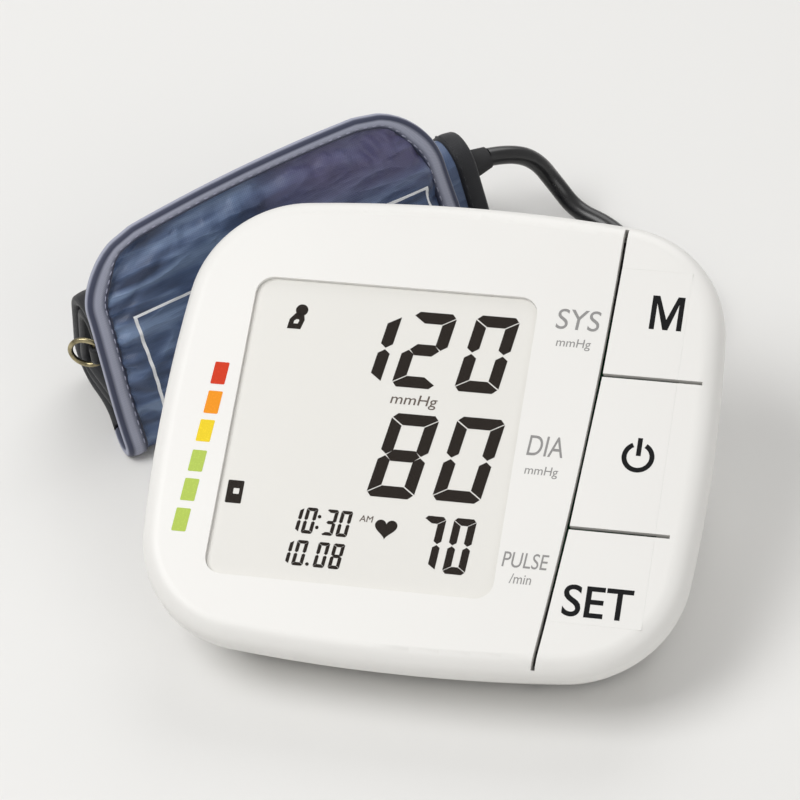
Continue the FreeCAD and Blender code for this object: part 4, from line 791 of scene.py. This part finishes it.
def figure(character, left, bottom, width, height, thick, slant):
    """Outlines of one seven-segment figure: bars with long mitred ends, a fine gap between them, and the
    whole leaning by slant, so that u grows with v."""
    w, h, t, e = width, height, thick, thick * 0.07
    m, n = h / 2, thick * 0.36
    shapes = {
        "a": [(n + e, h), (w - n - e, h), (w - e, h - n), (w - t - e, h - t), (t + e, h - t), (e, h - n)],
        "b": [(w, h - n - e), (w, m + n + e), (w - t / 2, m + e), (w - t, m + n + e), (w - t, h - t - e)],
        "c": [(w, n + e), (w, m - n - e), (w - t / 2, m - e), (w - t, m - n - e), (w - t, t + e)],
        "d": [(n + e, 0), (w - n - e, 0), (w - e, n), (w - t - e, t), (t + e, t), (e, n)],
        "e": [(0, n + e), (0, m - n - e), (t / 2, m - e), (t, m - n - e), (t, t + e)],
        "f": [(0, h - n - e), (0, m + n + e), (t / 2, m + e), (t, m + n + e), (t, h - t - e)],
        "g": [(t / 2 + e, m), (t + e, m + t / 2), (w - t - e, m + t / 2), (w - t / 2 - e, m),
              (w - t - e, m - t / 2), (t + e, m - t / 2)],
    }
    outlines = [np.array(shapes[segment]) for segment in SEGMENTS[character]]
    return [np.column_stack((left + line[:, 0] + slant * line[:, 1], bottom + line[:, 1]))
            for line in outlines]


class MONITOR_OT_figures(bpy.types.Operator):
    """Display film behind the window, with its dark figures and symbols"""
    bl_idname = "monitor.figures"
    bl_label = "Display figures"

    def execute(self, context):
        low, high = -0.00002, 0.00006
        dark = finish("figure_black", ink, look().figure_colour)
        faint = finish("figure_faint", ink, (0.13, 0.105, 0.09))
        thick = look().figure_width / MM
        # Each row: its stroke, and each figure's left, bottom, width, height and slant, in millimetres.
        rows = {
            "large_figures": (thick, (
                ("1", -24.6, 9.4, 10.4, 19.8, 0.15), ("2", -11.3, 9.6, 10.7, 20.2, 0.15),
                ("0", 4.3, 9.8, 10.8, 20.4, 0.145), ("8", -12.8, -19.3, 11.7, 22.0, 0.155),
                ("0", 3.4, -18.8, 11.8, 22.1, 0.15))),
            "pulse_figures": (1.85, (("7", 1.7, -37.1, 5.3, 14.2, 0.07), ("0", 8.9, -37.1, 5.5, 14.3, 0.07))),
            "clock_figures": (0.85, (
                ("1", -29.2, -30.4, 1.5, 6.7, 0.1), ("0", -27.0, -30.4, 2.8, 6.7, 0.1),
                ("3", -21.9, -30.4, 2.8, 6.7, 0.1), ("0", -18.4, -30.4, 2.8, 6.7, 0.1),
                ("1", -30.2, -38.7, 1.5, 6.5, 0.1), ("0", -27.9, -38.7, 2.8, 6.5, 0.1),
                ("0", -22.6, -38.7, 2.8, 6.5, 0.1), ("8", -18.9, -38.7, 2.8, 6.5, 0.1))),
        }
        for name, (width, figures) in rows.items():
            plates = [slab(outline * MM, FILM, low, high)
                      for *place, slant in figures for outline in figure(*place, width, slant)]
            if name == "clock_figures":
                plates += [slab((arc(0, 0, 0.45, 0, 330, 12) + at) * MM, FILM, low, high)
                           for at in ((-23.0, -25.8), (-23.2, -28.6), (-24.0, -38.1))]
            finish_piece(join_plates(name, plates), "unit", dark)
        angle = np.linspace(0, 2 * math.pi, 48, endpoint=False)
        # A heart: across 16 sin^3, up 13 cos - 5 cos 2 - 2 cos 3 - cos 4, all of one angle.
        heart = np.column_stack((16 * np.sin(angle) ** 3, 13 * np.cos(angle) - 5 * np.cos(2 * angle)
                                 - 2 * np.cos(3 * angle) - np.cos(4 * angle))) * 0.172
        body = np.array(((-39.7, 22.5), (-36.3, 22.5), (-35.6, 25.0), (-36.0, 26.7), (-38.1, 26.7),
                         (-39.4, 25.0)))
        hole = np.array(((-38.3, 23.9), (-37.2, 23.9), (-36.9, 24.7), (-37.1, 25.1), (-37.7, 25.1),
                         (-38.2, 24.7)))
        plates = [slab((heart + (-6.4, -27.1)) * MM, FILM, low, high),
                  slab((arc(0, 0, 1.55, 0, 345, 24) + (-36.7, 27.6)) * MM, FILM, low, high),
                  ring_plate(body * MM, hole * MM, FILM, low, high),
                  ring_plate(rounded(-47.0, -24.4, -43.0, -18.5, 0.3) * MM,
                             rounded(-45.4, -22.0, -43.9, -20.5, 0.2) * MM, FILM, low, high)]
        finish_piece(join_plates("display_symbols", plates), "unit", dark)
        for name, words, u, v, height, width, lean in (
                ("display_unit", "mmHg", -4.9, 6.0, 3.5, 11.4, 0.15),
                ("display_half_day", "AM", -11.5, -25.2, 1.6, 3.2, 0.1)):
            letters = lettering(name, words, (u * MM, v * MM), height * MM, width * MM, FILM, INK_DEPTH,
                                lean=lean)
            finish_piece(letters, "unit", faint)
        outline = rounded(-49.45, -42.25, 21.45, 36.15, 4.45, 12) * MM
        film = join_plates("display_film", [slab(outline, FACE, FILM_LEVEL - 0.0001, FILM_LEVEL)])
        finish_piece(film, "unit",
                     finish("display_film", moulded, look().panel_colour, 0.55, 0.02, 2600, 0.006))
        return {"FINISHED"}


# ---------------------------------------------------------------- cuff

# The roll's section is wrapped round three circles, each a middle's Y and Z and a radius.
ROUNDS = np.array(((0.021445, 0.0105, 0.0105), (0.0325, 0.0105, 0.0105), (0.02817, 0.0265, 0.0105)))
FLAP_TOP, FLAP_HALF, FLAP_MIDDLE, LEFT_CORNER, RIGHT_CORNER = 0.0636, 0.0507, -0.0033, 0.0170, 0.0195
# Places along the strip, from the flap's top, and the roll's two ends across it.
FLAP_END, TAPE_CHANGES, ROLL_START = 0.062, 0.070, 0.086
ROLL_LEFT, ROLL_RIGHT = -0.0521, 0.0585


class Wrap:
    """The wrap as one long strip: down the flap, round the fold at its foot, back along the floor and round
    the roll, closer in with each turn. Its middle line lies in the roll's own Y-Z plane. A place on it is
    given by how far across it is, how far along from the flap's top, and how high above its middle line."""

    def __init__(self, sizes):
        up, out = np.array((math.sin(LEAN), math.cos(LEAN))), np.array((-math.cos(LEAN), math.sin(LEAN)))
        bend, middle = 0.0030, -0.0017
        foot = (sizes.padding / 2 + bend + math.sin(LEAN) * (bend - middle)) / math.cos(LEAN)
        flap = np.linspace(FLAP_TOP, foot, 90)[:, None] * up + middle * out
        angle = np.linspace(math.pi - LEAN, 1.5 * math.pi, 16)[1:]
        fold = foot * up + (middle - bend) * out + bend * np.column_stack((np.cos(angle), np.sin(angle)))
        turn = np.linspace(-90, 360 * sizes.turns - 90, 1000)
        normal = np.column_stack((np.cos(np.radians(turn)), np.sin(np.radians(turn))))
        inset = sizes.padding / 2 + sizes.pitch * (turn + 90) / 360
        best = (normal @ ROUNDS[:, :2].T + ROUNDS[:, 2]).argmax(1)
        roll = ROUNDS[best, :2] + normal * (ROUNDS[best, 2] - inset)[:, None]
        self.line, self.along = resampled(np.vstack((flap, fold, roll)), 0.0012)
        tangent = np.gradient(self.line, axis=0)
        tangent /= np.linalg.norm(tangent, axis=1, keepdims=True)
        self.outward = np.column_stack((tangent[:, 1], -tangent[:, 0]))

    def at(self, across, along, height):
        """World points of places on the strip. The flap's top edge bows down towards its ends, by the square
        of the distance from its highest point, and cloth that would bulge into the floor lies flat on it."""
        bow, highest = 1.15, 0.014
        lowered = along + bow * np.square(across - highest) * (1 - step(along, 0.004, 0.030))
        y, z = (np.interp(lowered, self.along, self.line[:, axis]) for axis in (0, 1))
        out_y, out_z = (np.interp(lowered, self.along, self.outward[:, axis]) for axis in (0, 1))
        z = np.maximum(z + out_z * height, 0)
        return CUFF.at(np.stack(np.broadcast_arrays(across, y + out_y * height, z), -1))

    def edges(self, along):
        """Where the strip's left and right edges are: quarter-round corners at the flap's top, a flap a
        little wider at its foot than at its top, and then the wider roll."""
        rolled = step(along, FLAP_END, ROLL_START)
        spread = 0.0016 * step(along, 0.015, 0.055) * (1 - rolled)
        ends = []
        for side, corner in ((-1, LEFT_CORNER), (1, RIGHT_CORNER)):
            cut = corner - np.sqrt(np.clip(corner ** 2 - np.clip(corner - along, 0, None) ** 2, 0, None))
            flat = FLAP_MIDDLE + side * (FLAP_HALF + spread - cut)
            ends.append(flat * (1 - rolled) + (ROLL_LEFT if side < 0 else ROLL_RIGHT) * rolled)
        return ends


def settled(rest, columns, held, seed):
    """A sheet of cloth cut 5% larger than its frame and lightly blown up, left to settle: how far each point
    of it moves. Flat points in metres, in rows; it is worked at ten times its size, and a point moves at most
    2.4 mm."""
    rows, times, frames, most = len(rest) // columns, 10, 36, 0.0024
    start = rest * times
    start[:, 2] += 0.004 * ripple(rest[:, 0], rest[:, 1], 0.006, seed) * (1 - held)
    sheet = add_mesh("settling_sheet", start, grid_faces(rows, columns)[:, ::-1], True)
    sheet.vertex_groups.new(name="held").add(np.flatnonzero(held).tolist(), 1.0, "ADD")
    cloth = sheet.modifiers.new("cloth", "CLOTH")
    cloth.point_cache.frame_end = 40
    settings = cloth.settings
    settings.quality, settings.mass, settings.air_damping = 6, 0.15, 2.0
    settings.tension_stiffness = settings.compression_stiffness = 25
    settings.shear_stiffness, settings.bending_stiffness = 10, 0.08
    settings.vertex_group_mass = "held"
    settings.shrink_min = settings.shrink_max = -0.05
    settings.use_pressure, settings.uniform_pressure_force = True, 1.2
    settings.effector_weights.gravity = 0
    cloth.collision_settings.use_collision = False
    for number in range(1, frames + 1):
        bpy.context.scene.frame_set(number)
    mesh = sheet.evaluated_get(bpy.context.evaluated_depsgraph_get()).to_mesh()
    points = np.empty(len(mesh.vertices) * 3)
    mesh.vertices.foreach_get("co", points)
    bpy.data.objects.remove(sheet)
    bpy.context.scene.frame_set(1)
    move = points.reshape(-1, 3) / times - rest
    return move * np.minimum(1, most / np.maximum(np.linalg.norm(move, axis=1, keepdims=True), 1e-9))


class MONITOR_OT_cuff(bpy.types.Operator):
    """Rolled wrap and its flap, in one padded strip"""
    bl_idname = "monitor.cuff"
    bl_label = "Cuff wrap"

    def execute(self, context):
        sizes = context.scene.cuff_sizes
        wrap = Wrap(sizes)
        columns, crowding, simulated, seam = 100, 0.055, 0.066, 0.0038
        along = np.repeat(wrap.along[:, None], columns, 1)
        left, right = (edge[:, None] for edge in wrap.edges(wrap.along))
        # Columns stand closer together near both edges, where the cloth is gathered.
        s = np.linspace(0, 1, columns)
        s = s - np.sin(s * 2 * math.pi) * crowding
        across = left + (right - left) * s
        from_edge = np.minimum(np.minimum(across - left, right - across), along)
        on_flap = 1 - step(along, FLAP_END - 0.010, FLAP_END)
        move = np.zeros(across.shape + (3,))
        rows = int(np.searchsorted(wrap.along, simulated))
        flat = np.stack((across[:rows], -along[:rows], np.zeros((rows, columns))), 2).reshape(-1, 3)
        held = ((from_edge[:rows] < seam) | (along[:rows] > FLAP_END)).ravel()
        move[:rows] = settled(flat, columns, held.astype(float), 11).reshape(rows, columns, 3)
        move *= on_flap[..., None]
        pillow = sizes.padding / 2 * (0.50 + 0.50 * step(from_edge, 0.0025, 0.012))
        soft = 0.6 * ripple(across, along, 0.022, 3) + 0.35 * ripple(across, along, 0.010, 7)
        # Folds that start at the tape and run inward from it, as where cloth is gathered under a seam: a wave
        # along the edge that dies away from it.
        edge_way = np.where(along < np.minimum(across - left, right - across), across, along)
        pucker = np.sin(edge_way * 1350 + 3.2 * ripple(across, along, 0.012, 5)) * np.exp(-from_edge / 0.009)
        pucker *= 0.55 + 0.45 * ripple(edge_way, from_edge, 0.009, 21)
        pucker *= step(from_edge, 0.0035, 0.0065)
        deep = sizes.fold_depth * step(from_edge, 0.004, 0.010)
        # Long folds across the flap, stronger in some patches than in others.
        drag = ripple(across * 0.3, along + 0.25 * across, 0.0055, 9)
        drag *= 0.5 + 0.5 * ripple(across, along, 0.016, 13)
        folds = deep * (0.5 * soft + 0.8 * drag) + sizes.fold_depth * 1.5 * pucker
        front = pillow + move[..., 2] + on_flap * folds + (1 - on_flap) * 0.22 * deep * soft
        outer = wrap.at(across + move[..., 0], along - move[..., 1], front)
        inner = wrap.at(across, along, -pillow)
        rings = np.concatenate((outer, inner[:, ::-1]), 1)
        # The lining's UV is a metre aside, so that what is printed on the face isn't on it.
        uv_across = np.concatenate((across, across[:, ::-1] - 1), 1)
        uv = np.stack((uv_across, np.concatenate((along, along), 1)), 2)
        item = tube_mesh("cuff_wrap", rings[::-1], uv[::-1])
        finish_piece(item, "cuff_set", nylon())
        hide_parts("cuff_outer_wrap", "air_bladder", "cuff_inner_wrap", "cuff_flap")
        return {"FINISHED"}


class MONITOR_OT_tape(bpy.types.Operator):
    """Folded tape along the wrap's edges, grey round the flap and black along the roll, and its stitches"""
    bl_idname = "monitor.tape"
    bl_label = "Edge tape"
    spacing = 0.0011

    def execute(self, context):
        sizes = context.scene.cuff_sizes
        wrap = Wrap(sizes)
        left, right = wrap.edges(wrap.along)
        flap = wrap.along < TAPE_CHANGES
        top = np.linspace(left[0], right[0], 70)[1:-1]
        rim = np.vstack((np.column_stack((left[flap], wrap.along[flap]))[::-1],
                         np.column_stack((top, np.zeros(len(top)))),
                         np.column_stack((right[flap], wrap.along[flap]))))
        rim, _ = resampled(rim, self.spacing)
        item = self.tape(wrap, "flap_tape", rim, sizes, edge_tape(), "piping_fabric")
        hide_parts("flap_binding")
        for name, edge, way in (("roll_tape_left", left, 1), ("roll_tape_right", right, -1)):
            rim = np.column_stack((edge[~flap], wrap.along[~flap]))[::way]
            self.tape(wrap, name, rim, sizes, black_tape(), "black_rubber")
        return {"FINISHED"}

    def tape(self, wrap, name, rim, sizes, material, slot):
        """A tape folded over the strip's edge: a U-shaped section carried along it, wider where the edge runs
        down the flap than across its top, with a line of stitches near its inner edge."""
        count = len(rim)
        edge = wrap.at(rim[:, 0], rim[:, 1], np.zeros(count))
        normal = wrap.at(rim[:, 0], rim[:, 1], np.full(count, 0.001)) - edge
        normal /= np.linalg.norm(normal, axis=1, keepdims=True)
        tangent = np.gradient(edge, axis=0)
        tangent /= np.linalg.norm(tangent, axis=1, keepdims=True)
        aside = np.cross(normal, tangent)
        aside /= np.linalg.norm(aside, axis=1, keepdims=True)
        middle = wrap.at(np.full(count, FLAP_MIDDLE), np.maximum(rim[:, 1], 0.02), np.zeros(count))
        if np.median(np.sum(aside * (edge - middle), 1)) < 0:
            aside = -aside
        cover = np.full(count, sizes.tape_width)
        if name == "flap_tape":
            cover = sizes.tape_width * (1 - 0.46 * step(np.abs(tangent @ ALONG_ROLL), 0.55, 0.95))
        # The section, as u out from the edge and w up: along the face, round the edge and back on the lining.
        skin, bulge = 0.0005, 0.0010
        half = sizes.padding / 2 * 0.50 + skin
        bend = np.radians(np.linspace(90, -90, 11))
        flat = np.linspace(-1, 0, 9)[:-1]
        section_u = np.concatenate((flat, np.zeros(len(bend)), flat[::-1]))
        section_r = np.concatenate((np.zeros(len(flat)), bulge * np.cos(bend), np.zeros(len(flat))))
        crown = 1 + 0.22 * np.sin(np.linspace(0, math.pi, 9))[:-1]
        crown[0] = 0.62
        section_w = np.concatenate((crown, np.sin(bend), -crown[::-1])) * half
        u = section_u[None] * cover[:, None] + section_r[None]
        wave = 1 + 0.05 * ripple(np.arange(count) * self.spacing, np.zeros(count), 0.004, 17)[:, None]
        rings = (edge[:, None] + aside[:, None] * u[..., None]
                 + normal[:, None] * (section_w[None] * wave)[..., None])
        rings[..., 2] = np.maximum(rings[..., 2], skin / 2)
        reach = np.concatenate(([0], np.cumsum(np.hypot(np.diff(u[len(u) // 2]), np.diff(section_w)))))
        length = np.concatenate(([0], np.cumsum(np.linalg.norm(np.diff(edge, axis=0), axis=1))))
        share = reach / reach[-1] * 2 * (sizes.tape_width + 0.002)
        uv = np.stack(np.broadcast_arrays(share[None], length[:, None]), 2)
        item = add_mesh(name, rings, grid_faces(count, len(reach)), True, uv)
        solid = item.modifiers.new("thickness", "SOLIDIFY")
        solid.thickness, solid.offset = skin, 0
        finish_piece(item, "cuff_set", material)
        self.stitches(name, edge, aside, normal, tangent, length, cover, half)
        return item

    def stitches(self, name, edge, aside, normal, tangent, length, cover, half):
        """A running stitch: short threads a pitch apart, each a six-sided rod that dives into the tape."""
        pitch, thread, half_stitch, dive, joints, sides = 0.0026, 0.00016, 0.0009, 0.0005, 5, 6
        at = np.arange(pitch, length[-1] - pitch, pitch)
        start, out, up, way = (
            np.stack([np.interp(at, length, rows[:, axis]) for axis in range(3)], 1)[:, None]
            for rows in (edge, aside, normal, tangent))
        inward = np.interp(at, length, cover) - 0.0008
        t = np.linspace(-1, 1, joints)
        ring = np.radians(np.arange(sides) * 360 / sides)
        height = half * 1.08 + 0.00042 - dive * t ** 4
        centre = (start - out * inward[:, None, None] + way * (t * half_stitch)[None, :, None]
                  + up * height[None, :, None])
        centre[..., 2] = np.maximum(centre[..., 2], thread)
        points = (centre[:, :, None] + out[:, None] * (thread * np.cos(ring))[None, None, :, None]
                  + up[:, None] * (thread * np.sin(ring))[None, None, :, None])
        first = joints * sides * np.arange(len(at))[:, None]
        faces = (grid_faces(joints, sides, True)[None] + first[..., None]).reshape(-1, 4)
        start_caps = first + np.arange(sides)[::-1]
        end_caps = first + sides * (joints - 1) + np.arange(sides)
        faces = faces.tolist() + start_caps.tolist() + end_caps.tolist()
        item = add_mesh(name + "_stitches", points, faces, True)
        if name == "flap_tape":
            finish_piece(item, "cuff_set",
                         finish("thread_grey", rubber, (0.30, 0.31, 0.40), 0.6, 3000))
        else:
            finish_piece(item, "cuff_set",
                         finish("thread_black", rubber, (0.02, 0.021, 0.026), 0.6, 3000))


class MONITOR_OT_hook_pad(bpy.types.Operator):
    """Hook pad that holds the flap to the roll"""
    bl_idname = "monitor.hook_pad"
    bl_label = "Hook pad"

    def execute(self, context):
        flap_plane = Place(CUFF.at((FLAP_MIDDLE, 0, 0)), ALONG_ROLL,
                           BEHIND_ROLL * math.sin(LEAN) + Z_AXIS * math.cos(LEAN),
                           Z_AXIS * math.sin(LEAN) - BEHIND_ROLL * math.cos(LEAN))
        outline = rounded(-0.038, 0.013, 0.038, 0.035, 0.003, 8)
        item = join_plates("hook_pad", [slab(outline, flap_plane, -0.0050, -0.0036)])
        finish_piece(item, "cuff_set",
                     finish("hook_pile", rubber, (0.012, 0.014, 0.022), 0.9, 1600))
        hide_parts("hook_patch")
        return {"FINISHED"}


class MONITOR_OT_ring_webbing(bpy.types.Operator):
    """Webbing loop that holds the wire ring at the roll's end"""
    bl_idname = "monitor.ring_webbing"
    bl_label = "Ring webbing"

    def execute(self, context):
        # A strap: out from the roll, half round the ring's bar and back, in the roll's own X-Y plane.
        bar_x, bar_y, bar_z, radius, half_width, half_thick = -0.0544, 0.020, 0.025, 0.0013, 0.0025, 0.0004
        arm = np.linspace(bar_x + 0.009, bar_x + 0.001, 8)
        turn = np.radians(np.linspace(90, 270, 15))
        line = np.vstack((np.column_stack((arm, np.full(len(arm), bar_y + radius))),
                          np.column_stack((bar_x + radius * np.cos(turn), bar_y + radius * np.sin(turn))),
                          np.column_stack((arm[::-1], np.full(len(arm), bar_y - radius)))))
        tangent = np.gradient(line, axis=0)
        tangent /= np.linalg.norm(tangent, axis=1, keepdims=True)
        side = np.column_stack((-tangent[:, 1], tangent[:, 0]))
        width = np.linspace(-half_width, half_width, 7)
        faces = ((half_thick, width), (-half_thick, width[::-1]))
        rings = np.stack([np.column_stack((line + side * offset, np.full(len(line), bar_z + z)))
                          for offset, across in faces for z in across], 1)
        length = np.concatenate(([0], np.cumsum(np.linalg.norm(np.diff(line, axis=0), axis=1))))
        round_strap = np.concatenate((width, width[::-1]))
        uv = np.stack(np.broadcast_arrays(round_strap[None], length[:, None]), 2)
        item = tube_mesh("ring_webbing", CUFF.at(rings), uv)
        finish_piece(item, "cuff_set", black_tape())
        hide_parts("ring_loop")
        return {"FINISHED"}


class MONITOR_PT_panel(bpy.types.Panel):
    """Buttons that make the set, piece by piece"""
    bl_idname = "MONITOR_PT_panel"
    bl_label = "Blood pressure monitor"
    bl_space_type = "VIEW_3D"
    bl_region_type = "UI"
    bl_category = "Monitor"

    def draw(self, context):
        column = self.layout.column()
        for operator in OPERATORS:
            column.operator(operator.bl_idname)
        for group in (context.scene.monitor_look, context.scene.cuff_sizes, context.scene.hose_sizes):
            for name in group.bl_rna.properties.keys():
                if name not in ("rna_type", "name"):
                    column.prop(group, name)


OPERATORS = (MONITOR_OT_stage, MONITOR_OT_hose, MONITOR_OT_shells, MONITOR_OT_key_legends,
             MONITOR_OT_face_print, MONITOR_OT_figures, MONITOR_OT_cuff, MONITOR_OT_tape, MONITOR_OT_hook_pad,
             MONITOR_OT_ring_webbing)
GROUPS = (("monitor_look", MonitorLook), ("cuff_sizes", CuffSizes), ("hose_sizes", HoseSizes))


def register():
    for name, group in GROUPS:
        bpy.utils.register_class(group)
        setattr(bpy.types.Scene, name, bpy.props.PointerProperty(type=group))
    for item in OPERATORS + (MONITOR_PT_panel,):
        bpy.utils.register_class(item)


def unregister():
    for item in (MONITOR_PT_panel,) + OPERATORS[::-1]:
        bpy.utils.unregister_class(item)
    for name, group in GROUPS[::-1]:
        delattr(bpy.types.Scene, name)
        bpy.utils.unregister_class(group)


def main():
    register()
    for operator in OPERATORS:
        group, name = operator.bl_idname.split(".")
        getattr(getattr(bpy.ops, group), name)()


if __name__ == "__main__":
    main()
